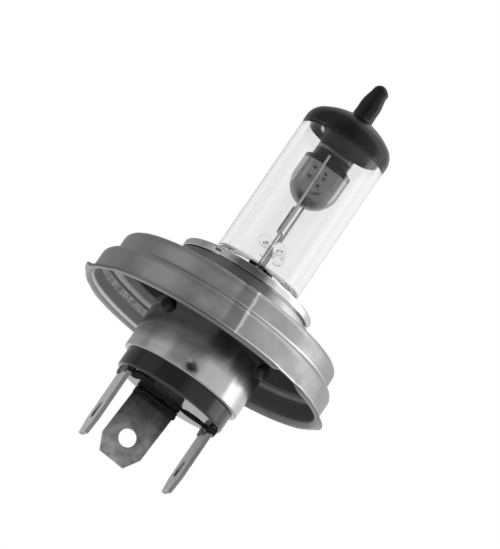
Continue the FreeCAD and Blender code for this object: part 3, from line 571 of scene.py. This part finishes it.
def make_ring():
    sheet, pilot, seat, flare = 0.6, 20.8, 22.5, high("locating_ring").x / MM
    top, neck_top = 3.85, high("locating_ring").z / MM
    lip_under = low("locating_ring").z / MM
    lip_top = lip_under + sheet
    neck, skirt, offset = 12.3, -4.3, -0.2
    notch = 31.0
    profile = [(neck - sheet, neck_top), (neck - 0.1, neck_top), (neck, neck_top - 0.1)]
    profile += arc(neck + 0.5, top + 0.5, 0.5, 180, 270, 6)
    profile += [(15.0, top), (17.5, top)]
    profile += arc(pilot - 1.3, top - 1.3, 1.3, 90, 0, 14)
    profile += [(pilot, 2.0), (pilot, 1.0), (pilot, 0.5)]
    profile += [(pilot + 0.03, 0.3), (pilot + 0.1, 0.12), (pilot + 0.22, 0.01)]
    profile += arc(seat - 1.5, -1.5, 1.5, 88, 0, 14)
    profile += [(seat, -2.4), (seat, -3.4)]
    profile += arc(seat + 0.55, skirt, 0.55, 180, 270, 8)
    profile += [(flare - 0.45, lip_top)]
    profile += arc(flare - 0.25, lip_under + sheet / 2, 0.25, 80, -80, 8)
    profile += [(flare - 0.5, lip_under)]
    profile += arc(seat + 0.55, skirt, 1.15, 270, 180, 10)
    profile += [(seat - sheet, -3.4), (seat - sheet, -2.4)]
    profile += arc(seat - 1.5, -1.5, 0.9, 0, 88, 10)
    profile += [(pilot - sheet, -0.58), (pilot - sheet, 1.0), (pilot - sheet, 2.0)]
    profile += arc(pilot - 1.3, top - 1.3, 0.7, 0, 90, 10)
    profile += [(17.0, top - sheet), (14.5, top - sheet), (neck + 0.3, top - sheet)]
    profile += arc(neck + 0.5, top + 0.5, 1.1, 262, 200, 5)

    def shape(radius, angle, height):
        gap = angle_gap(angle, notch)
        cut = plateau(gap, math.radians(4.6), math.radians(5.0))
        reach = min(max((radius - seat - 0.2) / 1.2, 0.0), 1.0)
        if height < skirt + 0.05 and cut > 0:
            wall = seat - 0.3 + (radius - seat + 0.3) * 0.12
            radius = radius + (wall - radius) * cut
            height = height + (skirt - 0.25 - height) * cut * 0.75
        # the flared lip isn't true: its edge has a height of its own at each bearing
        view = math.degrees(angle - math.radians(VIEW_AZIMUTH) + math.pi) % 360 - 180
        height += (eased(LIP_EDGE, view) - settle(flare, angle, lip_under)) * reach * (1 - cut)
        wave = noise.noise(Vector((math.sin(angle) * 2.2, math.cos(angle) * 2.2, height * 0.15)))
        if reach == 0 and radius > 19:
            radius += 0.03 * wave
        edge = flare + offset * max(0.0, -math.sin(angle))
        return min(radius, edge), angle, settle(radius, angle, height)

    ring = lathe("ring_pressing", profile, RING_STEEL, "ring_steel", shape, around=384, smooth_angle=50.0,
                 centre=Vector((offset * MM, 0, 0)))
    ring.data.materials.append(RING_INSIDE)
    for face in ring.data.polygons:
        outward = Vector((face.center.x, face.center.y, 0)).normalized()
        if face.normal.dot(outward) < -0.15 or (face.normal.z < -0.5 and face.center.z > -3.0 * MM):
            face.material_index = 1
    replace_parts(ring, "locating_ring")


# ---------- base shell, pegs and collar
def make_shell():
    outer, sheet = 11.0, 0.5
    top, bottom = high("base_shell").z / MM, low("base_shell").z / MM
    profile = [(outer - sheet, top), (outer - 0.08, top), (outer, top - 0.08)]
    profile += [(outer, 2.0), (outer, -2.0), (outer, -6.0), (outer, -8.0)]
    profile += [(outer, -9.0 - step * 0.22) for step in range(12)]
    profile += arc(outer - 0.28, bottom + 0.28, 0.28, 0, -90, 8)
    profile += [(10.26, bottom), (10.26, bottom + sheet)]
    profile += [(outer - sheet, bottom + 0.8), (outer - sheet, -6.0), (outer - sheet, 0.0)]

    def shape(radius, angle, height):
        for bearing in CRIMPS:
            across = angle_gap(angle, bearing) * outer
            dent = plateau(across, 0.6, 0.9) * plateau(height + 11.2 + 0.12 * across, 0.1, 0.9)
            radius -= 0.07 * dent
        if -9.0 > height > bottom + 0.5:
            radius += 0.03 * noise.noise(Vector((math.sin(angle) * 3, math.cos(angle) * 3, height * 0.3)))
        return radius, angle, height

    shell = lathe("base_shell_drawn", profile, SHELL_STEEL, "base_steel", shape, around=480)
    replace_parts(shell, "base_shell")


def make_pegs():
    for node, bearing in (("peg_left", -60.0), ("peg_right", 60.0), ("peg_back", 180.0)):
        start, stop, radius = 10.5, 11.85, 1.3
        profile = [(0.0, stop - 0.12)] + arc(radius - 0.35, stop - 0.35, 0.35, 80, 0, 6)
        profile += [(radius, start), (0.0, start)]
        peg = lathe("rivet_" + node, profile, PEG_STEEL, "base_steel", around=48)
        turn = Matrix.Rotation(math.radians(bearing), 4, "Z") @ Matrix.Rotation(math.radians(90), 4, "X")
        peg.data.transform(Matrix.Translation((0, 0, middle(node).z)) @ turn)
        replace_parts(peg, node)


def make_collar():
    rim, sheet = high("retaining_collar").x / MM, 0.6
    top, bottom = high("retaining_collar").z / MM, low("retaining_collar").z / MM
    mouth, inside = 8.9, 11.06
    under = top - 1.5
    profile = [(inside, bottom), (inside + sheet, bottom), (inside + sheet, under)]
    profile += [(rim - 0.2, under)] + arc(rim - 0.15, under + 0.15, 0.15, -80, 0, 4)
    profile += [(rim, under + 0.3 + 0.2 * step) for step in range(3)]
    profile += arc(rim - 0.55, top - 0.55, 0.55, 0, 90, 10)
    profile += [(11.0, top), (10.0, top)] + arc(mouth + 0.2, top - 0.2, 0.2, 90, 180, 5)
    profile += [(mouth, top - sheet), (10.0, top - sheet), (inside, top - sheet)]

    def shape(radius, angle, height):
        for bearing in (-43.0, 77.0, 197.0):
            across = angle_gap(angle, bearing) * rim
            dent = plateau(across, 0.55, 0.35) * (1.0 if radius > inside + sheet + 0.1 else 0.0)
            dent *= plateau(height - under, 0.55, 0.5)
            radius -= 0.45 * dent
        return min(radius, rim), angle, settle(radius, angle, height) + 0.12

    collar = lathe("collar_cap", profile, COLLAR_STEEL, "collar_steel", shape, around=384)
    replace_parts(collar, "retaining_collar")


# ---------- insulator
def make_insulator():
    outer = half_width("insulator") / MM
    top, bottom = high("insulator").z / MM, low("insulator").z / MM
    profile = [(0.0, top), (outer, top), (outer, -10.0)]
    profile += [(outer, -12.6), (outer, -13.6), (outer, bottom + 1.0)]
    profile += arc(outer - 0.4, bottom + 0.4, 0.4, 0, -88, 10)
    profile += [(8.8, bottom), (6.0, bottom), (3.0, bottom), (0.0, bottom)]
    body = lathe("insulator_moulding", profile, INSULATOR, "insulator_plastic", around=256)
    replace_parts(body, "insulator")


# ---------- blades and the seals round their roots
def make_blade(node, slot, material, lean=0.0):
    """A blade with rounded edges, cut from a flat outline with its detent hole."""
    bottom, top = low(node).z / MM, high(node).z / MM
    width, sheet, nose, cut, edge = 8.0, 0.8, 2.8, 1.5, 0.08
    half, hole = width / 2 - edge, HOLE_RADIUS + edge
    curve = bpy.data.curves.new(node + "_outline", "CURVE")
    curve.dimensions = "2D"
    curve.fill_mode = "BOTH"
    curve.extrude = (sheet / 2 - edge) * MM
    curve.bevel_depth = edge * MM
    curve.bevel_resolution = 2
    corners = [(-half, top - edge), (half, top - edge), (half, bottom + nose), (half - cut, bottom + edge),
               (cut - half, bottom + edge), (-half, bottom + nose)]
    circle = [(hole * math.cos(angle), bottom + HOLE_UP + hole * math.sin(angle))
              for angle in (2 * math.pi * number / 64 for number in range(64))]
    for loop in (corners, circle):
        spline = curve.splines.new("POLY")
        spline.points.add(len(loop) - 1)
        for point, (x, z) in zip(spline.points, loop):
            point.co = (x * MM, z * MM, 0.0, 1.0)
        spline.use_cyclic_u = True
    flat = bpy.data.objects.new(node + "_flat", curve)
    bpy.context.scene.collection.objects.link(flat)
    mesh = bpy.data.meshes.new_from_object(flat.evaluated_get(bpy.context.evaluated_depsgraph_get()))
    bpy.data.objects.remove(flat)
    mesh.transform(Matrix.Rotation(math.radians(90), 4, "X"))
    side, reach = middle(node), high(node) - low(node)
    turn = math.radians(90) if reach.x < reach.y else 0.0
    mesh.transform(Matrix.Translation((side.x, side.y, 0)) @ Matrix.Rotation(turn, 4, "Z"))
    if lean:
        root = Vector((side.x, side.y, low("insulator").z))
        mesh.transform(Matrix.Translation(root + Vector((-0.55, 0, 0.16)) * MM)
                       @ Matrix.Rotation(math.radians(lean), 4, "Y") @ Matrix.Translation(-root))
    mesh.materials.clear()
    blade = add_piece("blade_" + node, mesh, slot, material, CUT_EDGE, smooth_angle=30.0)
    for face in mesh.polygons if turn else ():
        face.material_index = 0 if abs(face.normal.x) > 0.6 else 1
    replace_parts(blade, node)


def make_root_seal(node, seed, aside=0.0, lift=0.0):
    """A lumpy collar of compound that grips the blade's root."""
    shift = Vector((aside * MM, 0, 0))
    lo, hi = low(node) + shift, high(node) + shift
    bm = bmesh.new()
    bmesh.ops.create_cube(bm, size=1.0)
    bmesh.ops.subdivide_edges(bm, edges=bm.edges[:], cuts=15, use_grid_fill=True)
    size = hi - lo
    centre = (lo + hi) / 2
    for vertex in bm.verts:
        corner = vertex.co.copy()
        # round the block's edges
        pull = Vector([max(abs(value) - 0.36, 0.0) * (1 if value > 0 else -1) for value in corner])
        if pull.length > 0:
            corner = corner - pull + pull.normalized() * min(pull.length, 0.14)
        place = Vector((corner.x * size.x, corner.y * size.y, corner.z * size.z)) + centre
        lump = noise.noise(place * 900 + Vector((seed, 0, 0)))
        fine = noise.noise(place * 2400 + Vector((0, seed, 0)))
        down = max(0.0, 0.5 - corner.z)
        flat = Vector((corner.x, corner.y, 0))
        outward = flat.normalized() if flat.length > 0.05 else Vector()
        place += outward * (lump * 0.22 + fine * 0.08) * MM
        place.z += (lump * 0.45 + fine * 0.15 + 0.1 + lift) * MM * down
        vertex.co = [min(max(value, least), most) for value, least, most in zip(place, lo, hi)]
    seal = add_piece("seal_" + node, settled("seal_" + node, bm), "root_seal", COMPOUND)
    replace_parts(seal, node)


def make_smear(name, centre, reach, seed):
    """A flat smear of compound left on the moulding's underside."""
    bm = bmesh.new()
    bmesh.ops.create_icosphere(bm, subdivisions=5, radius=1.0)
    under = low("insulator").z
    for vertex in bm.verts:
        spot = vertex.co.copy()
        edge = 1.0 + 0.45 * noise.noise(Vector((spot.x * 1.6, spot.y * 1.6, seed)))
        edge += 0.2 * noise.noise(Vector((spot.x * 4.0, spot.y * 4.0, seed)))
        lump = 1.0 + 0.5 * noise.noise(Vector((spot.x * 3.0, spot.y * 3.0, seed + 5.0)))
        x, y = centre[0] + spot.x * reach[0] * edge, centre[1] + spot.y * reach[1] * edge
        inside = min(1.0, 9.4 / max(math.hypot(x, y), 0.1))
        vertex.co = Vector((x * inside * MM, y * inside * MM, under + spot.z * reach[2] * lump * MM))
    add_piece(name, settled(name, bm), "root_seal", SMEARED)


# ---------- burner
SHOULDER, DOME, BEND = 37.0, 4.6, 3.0


def dome_arc(radius):
    """The dome's large arc: its radius, the height of its centre and the angle at which it starts."""
    inner = radius - BEND
    wide = (inner ** 2 + DOME ** 2 - BEND ** 2) / (2 * (DOME - BEND))
    centre = SHOULDER + DOME - wide
    return wide, centre, math.degrees(math.atan2(SHOULDER - centre, inner))


def dome_profile(radius, extra, tip_radius=1.8, tip_end=48.4):
    """The outside of the dome and tip, from the shoulder up to the axis, grown by an extra."""
    wide, centre, slant = dome_arc(radius)
    points = arc(radius - BEND, SHOULDER, BEND + extra, 0, slant, 14)
    tip = tip_radius + extra
    neck = tip + 0.5
    stop = math.degrees(math.acos(neck / (wide + extra)))
    points += arc(0, centre, wide + extra, slant, stop, 14)[1:]
    joint = centre + (wide + extra) * math.sin(math.radians(stop))
    points += [(tip + 0.18, joint + 0.2), (tip + 0.02, joint + 0.6)]
    points += [(tip - 0.03, 43.2), (tip, 44.2), (tip - 0.06, 45.0), (tip - 0.25, 45.9), (tip - 0.48, 46.7)]
    points += arc(0.0, tip_end - 1.25, 1.25 + extra, 12, 84, 8)
    points += [(0.0, tip_end + extra)]
    return points


def tip_shape(radius, angle, height):
    """The sealed tip ends in a small knob to one side."""
    if height > 45.0:
        knob = bell(height - 47.3, 0.55) * bell(angle_gap(angle, 85.0), 0.9)
        radius = radius + 0.28 * knob * (1 if radius > 0.2 else 0)
    return radius, angle, height


def make_envelope():
    radius, wall, heel = 8.0, 1.2, 2.2
    bottom, floor = 8.05, 10.05
    base = low("quartz_envelope").z / MM
    outer = [(0.0, base), (1.0, base), (6.6, base + 0.01)] + [(6.6, z) for z in (0.0, 3.0, 6.0, 7.4, 7.9)]
    outer += [(radius - heel, bottom)] + arc(radius - heel, bottom + heel, heel, -86, 0, 14)
    outer += [(radius, 16.0), (radius, 22.0), (radius, 30.0)]
    outer += dome_profile(radius, 0.0)
    wide, centre, slant = dome_arc(radius)
    inside = arc(0, centre, wide - wall, 90, slant, 12)
    inside += arc(radius - BEND, SHOULDER, BEND - wall, slant, 0, 10)[1:]
    inside += [(radius - wall, 30.0), (radius - wall, 22.0), (radius - wall, 16.0)]
    inside += arc(radius - heel, floor + heel - wall, heel - wall, 0, -88, 12)
    inside += [(2.5, floor), (0.0, floor)]
    turn = math.radians(BURNER_TURN)

    def shape(r, angle, z):
        if z < 8.0 and r > 0.5:
            # below the bulb the tube is squeezed flat, 3.4 mm thin and 13 mm wide in its own turned frame
            across, along, power = math.sin(angle + turn) / 1.7, math.cos(angle + turn) / 6.5, 6.0
            r *= (abs(across) ** power + abs(along) ** power) ** (-1 / power) / 6.6
        return tip_shape(r, angle, z)

    glass = lathe("quartz_bulb", outer + inside, QUARTZ, "quartz", shape, around=256,
                  centre=GLASS_AXIS, smooth_angle=60.0)
    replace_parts(glass, "quartz_envelope")
    edge = low("black_top_coating").z / MM
    glass.data.materials.append(INSIDE_LACQUER)
    for face in glass.data.polygons:
        face.material_index = 1 if face.center.z > (edge + 0.2) * MM else 0
    skin = (high("black_top_coating").z - high("quartz_envelope").z) / MM
    outside = [(radius + skin, edge)] + dome_profile(radius, skin)
    below = list(reversed([(radius + 0.01, edge)] + dome_profile(radius, 0.01)))

    def coat_shape(r, angle, z):
        if z < edge + 0.3:
            z = z + 0.10 + 0.10 * noise.noise(Vector((math.sin(angle) * 2, math.cos(angle) * 2, 3.0)))
        return tip_shape(r, angle, z)

    coat = lathe("top_lacquer", outside + below, LACQUER, "black_coating", coat_shape, around=256,
                 centre=GLASS_AXIS, smooth_angle=60.0)
    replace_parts(coat, "black_top_coating")


def make_bridge():
    """Two drawn quartz rods with fire-rounded ends."""
    for node in ("bridge_rod_left", "bridge_rod_right"):
        radius = (high(node).z - low(node).z) / 2 / MM
        half = 4.8
        profile = [(0.0, half), (radius - 0.5, half)] + arc(radius - 0.35, half - 0.35, 0.35, 80, 0, 6)
        profile += [(radius, 2.0), (radius, -2.0)]
        profile += arc(radius - 0.35, 0.35 - half, 0.35, 0, -80, 6) + [(radius - 0.5, -half), (0.0, -half)]
        rod = lathe("quartz_" + node, profile, BRIDGE_QUARTZ, "bridge_quartz", around=96)
        spot = middle(node)
        turn = Matrix.Rotation(math.radians(-BURNER_TURN), 4, "Z") @ Matrix.Rotation(math.radians(90), 4, "X")
        rod.data.transform(Matrix.Translation(spot) @ turn)
        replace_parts(rod, node)


def make_shield():
    """The pressed trough: a flat back with rounded sides and foot, folded in above to a narrower tongue."""
    half, foot, sheet = 4.35, 23.7, 0.3
    fold, step, inset, deep = 31.75, 32.5, 0.21, 1.15
    columns, rows = 64, []
    for number in range(19):
        angle = math.radians(90 * number / 18)
        rows.append((math.sin(angle), foot + half * (1 - math.cos(angle)), 0.0))
    rows[0] = (0.01, foot, 0.0)
    rows += [(1.0, z, 0.0) for z in (28.6, 29.4, 30.2, 31.0, fold)]
    rows += [(1 - inset * share, fold + (step - fold) * share, deep * share)
             for share in (0.08, 0.25, 0.5, 0.75, 0.92, 1.0)]
    groove = [(32.6, 0.0), (32.8, 0.0), (33.0, 0.14), (33.2, 0.2), (33.4, 0.14), (33.6, 0.0), (34.0, 0.0),
              (34.3, 0.1), (high("dipped_beam_shield").z / MM, 0.1)]
    rows += [(1 - inset, z, deep + dip) for z, dip in groove]
    vertices, faces = [], []
    for wide, z, back in rows:
        for column in range(columns + 1):
            angle = math.radians(180 * (column / columns) - 90)
            # a squared-off half round: nearly flat behind, quick bends at the sides
            power = 2.0 / 2.9
            x = half * math.copysign(abs(math.sin(angle)) ** power, angle)
            y = -half * abs(math.cos(angle)) ** power
            if z <= foot + half and wide < 1:
                y *= 0.35 + 0.65 * wide
            vertices.append((x * wide * MM, (min(y + back, 0.0)) * MM, z * MM))
    width = columns + 1
    for row in range(len(rows) - 1):
        for column in range(columns):
            here = row * width + column
            faces.append((here, here + 1, here + width + 1, here + width))
    shield = finish_mesh("shield_pressing", vertices, faces, SHIELD, "shield_metal", 50.0, closed=False)
    thick = shield.modifiers.new("sheet", "SOLIDIFY")
    thick.thickness = sheet * MM
    thick.offset = -1.0
    # its back rests on the common lead; it faces a little to the right of the burner's own turn
    lead, pitch, aside = 0.25, 3.5, 0.4
    ahead = math.sqrt((half + lead) ** 2 - aside ** 2) - pitch
    spot = Matrix.Rotation(math.radians(-BURNER_TURN), 4, "Z") @ Vector((-aside * MM, ahead * MM, 0))
    facing = Matrix.Rotation(math.radians(3.0), 4, "Z")
    shield.data.transform(Matrix.Translation(spot + Vector((0.3 * MM, 0, 0))) @ facing)
    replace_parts(shield, "dipped_beam_shield")


def make_lead(node, slot, path, radius):
    """A drawn wire, a little bent, through points given in mm."""
    around = 20
    vertices, faces = [], []
    for x, y, z in path:
        for spoke in range(around):
            angle = 2 * math.pi * spoke / around
            edge = x + radius * math.sin(angle), y - radius * math.cos(angle), z
            vertices.append([value * MM for value in edge])
    for step in range(len(path) - 1):
        for spoke in range(around):
            here, after = step * around + spoke, step * around + (spoke + 1) % around
            faces.append((here, after, after + around, here + around))
    last = (len(path) - 1) * around
    faces += [tuple(reversed(range(around))), tuple(range(last, last + around))]
    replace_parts(finish_mesh("wire_" + node, vertices, faces, LEAD, slot), node)


make_ring()
make_shell()
make_pegs()
make_collar()
make_insulator()
make_blade("terminal_left", "blade_metal", LEFT_BLADE)
make_blade("terminal_right", "blade_metal", RIGHT_BLADE)
make_blade("terminal_back", "stained_blade", BACK_BLADE, lean=3.2)
for seed, node in enumerate(("root_seal_left", "root_seal_right", "root_seal_back")):
    make_root_seal(node, 3.7 * seed + 1.0, aside=-0.5 if seed == 2 else 0.0, lift=0.7 if seed == 0 else 0.0)
make_smear("smear_right", (5.6, 0.6), (3.4, 1.5, 0.32), 2.0)
make_smear("smear_left", (-6.3, -3.5), (1.9, 5.2, 0.35), 9.0)
make_envelope()
make_bridge()
make_shield()
make_lead("common_lead", "lead_metal", [(x, -3.4, z) for x, z in (
    (-0.70, 7.0), (-0.72, 12.0), (-0.76, 17.0), (-0.86, 22.0), (-1.0, 27.0), (-1.12, 31.0),
    (-1.16, high("common_lead").z / MM))], 0.2)

# Pieces that keep their CAD solid and get a material.
CARRIED = {
    "main_beam_lead": LEAD, "dipped_beam_lead": LEAD, "foil_common": LEAD, "foil_main": LEAD,
    "foil_dipped": LEAD, "outer_lead_left": LEAD, "outer_lead_right": LEAD, "outer_lead_back": LEAD,
    "main_beam_filament": TUNGSTEN, "dipped_beam_filament": TUNGSTEN, "main_beam_leg": TUNGSTEN,
    "main_beam_tail": TUNGSTEN, "dipped_beam_leg": TUNGSTEN, "pinch_clip": CLIP_STEEL,
    "potting_cement": CEMENT,
}
for node, material in CARRIED.items():
    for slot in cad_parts[node].material_slots:
        slot.material = material


# ---------- stage, light and camera
def direction(azimuth, elevation):
    """Unit vector from the object towards a bearing: azimuth from -Y towards +X, in degrees."""
    a, e = math.radians(azimuth), math.radians(elevation)
    return Vector((math.sin(a) * math.cos(e), -math.cos(a) * math.cos(e), math.sin(e)))


IMAGE_WIDTH, PIXELS_PER_MM, CAMERA_DISTANCE = 500, 6.03, 1.0
FRAME_SHIFT = (28.3, 46.5)      # how far right and up of the origin the frame's centre lies, in image units
OBJECT_MIDDLE = Vector((0, 0, 0.01))


def seen_by_gloss(tree):
    """Two sockets: 1 for glossy and transmission rays, and 1 for those and camera rays."""
    path = tree.nodes.new("ShaderNodeLightPath")
    first = tree.nodes.new("ShaderNodeMath")
    second = tree.nodes.new("ShaderNodeMath")
    first.operation = second.operation = "MAXIMUM"
    tree.links.new(path.outputs["Is Glossy Ray"], first.inputs[0])
    tree.links.new(path.outputs["Is Transmission Ray"], first.inputs[1])
    tree.links.new(first.outputs[0], second.inputs[0])
    tree.links.new(path.outputs["Is Camera Ray"], second.inputs[1])
    return first.outputs[0], second.outputs[0]


def make_floor():
    """A pale floor well below; the object's metal sees it as white."""
    bpy.ops.mesh.primitive_plane_add(size=14.0, location=(0, 0, -1.4))
    floor = bpy.context.object
    floor.name = "studio_floor"
    nodes = Nodes("floor_paint", Base_Color=(0.85, 0.85, 0.85, 1.0), Roughness=0.9)
    mixer = nodes.add("ShaderNodeMixShader")
    nodes.link(seen_by_gloss(nodes.tree)[0], mixer.inputs["Fac"])
    nodes.link(nodes.shader.outputs["BSDF"], mixer.inputs[1])
    nodes.link(nodes.add("ShaderNodeEmission").outputs["Emission"], mixer.inputs[2])
    nodes.link(mixer.outputs["Shader"], nodes.tree.nodes["Material Output"].inputs["Surface"])
    floor.data.materials.append(nodes.material)


# Tones of the studio round the object, by bearing from the camera (+ to the right), as metal sees them.
STUDIO_TONES = [(-180, 0.46), (-112, 0.42), (-100, 0.30), (-88, 0.50), (-52, 0.50), (-44, 0.30), (4, 0.28),
                (24, 0.72), (76, 0.80), (83, 2.0), (107, 2.0), (120, 1.0), (180, 0.75)]
STUDIO_GAIN = 3.0      # a ramp holds no more than 1, so its tones are divided by this and lit up again


def make_studio():
    """A dome of grey cloth that only gloss sees: tone by bearing, white below the horizon."""
    bm = bmesh.new()
    bmesh.ops.create_uvsphere(bm, u_segments=96, v_segments=48, radius=0.6)
    mesh = settled("studio_dome", bm)
    mesh.polygons.foreach_set("use_smooth", [True] * len(mesh.polygons))
    dome = bpy.data.objects.new("studio_dome", mesh)
    bpy.context.scene.collection.objects.link(dome)
    dome.location = OBJECT_MIDDLE
    dome.rotation_euler = (0.0, 0.0, math.radians(VIEW_AZIMUTH - 90.0))
    nodes = Nodes("studio_cloth")
    nodes.tree.nodes.remove(nodes.shader)
    sweep = nodes.add("ShaderNodeTexGradient", gradient_type="RADIAL")
    nodes.link(nodes.place, sweep.inputs["Vector"])
    tones = nodes.ramp(sweep.outputs["Fac"],
                       [(0.5 + bearing / 360.0, tone / STUDIO_GAIN) for bearing, tone in STUDIO_TONES])
    heights = nodes.add("ShaderNodeMapRange", interpolation_type="SMOOTHSTEP")
    heights.inputs["From Min"].default_value = -0.05
    heights.inputs["From Max"].default_value = 0.04
    nodes.link(nodes.axis("Z"), heights.inputs["Value"])
    glow = nodes.add("ShaderNodeEmission")
    glow.inputs["Strength"].default_value = STUDIO_GAIN
    nodes.link(nodes.mix(heights.outputs["Result"], 1 / STUDIO_GAIN, tones), glow.inputs["Color"])
    nodes.link(glow.outputs["Emission"], nodes.tree.nodes["Material Output"].inputs["Surface"])
    mesh.materials.append(nodes.material)
    dome.visible_camera = dome.visible_diffuse = False
    dome.visible_transmission = dome.visible_shadow = False


def make_lamp(name, azimuth, elevation, distance, width, height, power):
    lamp = bpy.data.lights.new(name, "AREA")
    lamp.shape = "RECTANGLE"
    lamp.size, lamp.size_y = width, height
    lamp.energy = power
    holder = bpy.data.objects.new(name, lamp)
    holder.location = OBJECT_MIDDLE + direction(azimuth, elevation) * distance
    holder.rotation_mode = "QUATERNION"
    holder.rotation_quaternion = (holder.location - OBJECT_MIDDLE).to_track_quat("Z", "Y")
    bpy.context.scene.collection.objects.link(holder)


def make_world():
    """White to the camera, to gloss and through glass; softer where it only lights."""
    world = bpy.data.worlds.new("studio")
    bpy.context.scene.world = world
    world.use_nodes = True
    tree = world.node_tree
    back = tree.nodes["Background"]
    level = tree.nodes.new("ShaderNodeMapRange")
    level.inputs["To Min"].default_value = 0.6
    level.inputs["To Max"].default_value = 1.0
    tree.links.new(seen_by_gloss(tree)[1], level.inputs["Value"])
    back.inputs["Color"].default_value = (1, 1, 1, 1)
    tree.links.new(level.outputs["Result"], back.inputs["Strength"])


def make_camera():
    back = direction(VIEW_AZIMUTH, VIEW_ELEVATION)
    azimuth = math.radians(VIEW_AZIMUTH)
    level = Vector((math.cos(azimuth), math.sin(azimuth), 0))
    upright = back.cross(level)
    lean = math.radians(AXIS_LEAN)
    right = level * math.cos(lean) + upright * math.sin(lean)
    up = upright * math.cos(lean) - level * math.sin(lean)
    target = (right * FRAME_SHIFT[0] + up * FRAME_SHIFT[1]) / PIXELS_PER_MM * MM
    camera = bpy.data.cameras.new("camera")
    camera.sensor_width = 36.0
    camera.sensor_fit = "HORIZONTAL"
    span = IMAGE_WIDTH / PIXELS_PER_MM * MM
    camera.lens = camera.sensor_width * CAMERA_DISTANCE / span
    camera.clip_start, camera.clip_end = 0.01, 20.0
    holder = bpy.data.objects.new("camera", camera)
    turn = Matrix((right, up, back)).transposed().to_4x4()
    holder.matrix_world = Matrix.Translation(target + back * CAMERA_DISTANCE) @ turn
    bpy.context.scene.collection.objects.link(holder)
    bpy.context.scene.camera = holder


make_floor()
make_studio()
make_lamp("right_softbox", 88.0, 12.0, 0.7, 0.35, 0.7, 1.2)
make_lamp("left_softbox", -70.0, 10.0, 0.8, 0.2, 0.6, 0.4)
make_lamp("top_softbox", 0.0, 75.0, 0.8, 0.6, 0.6, 1.0)
make_world()
make_camera()
bpy.context.scene.view_settings.view_transform = "Standard"
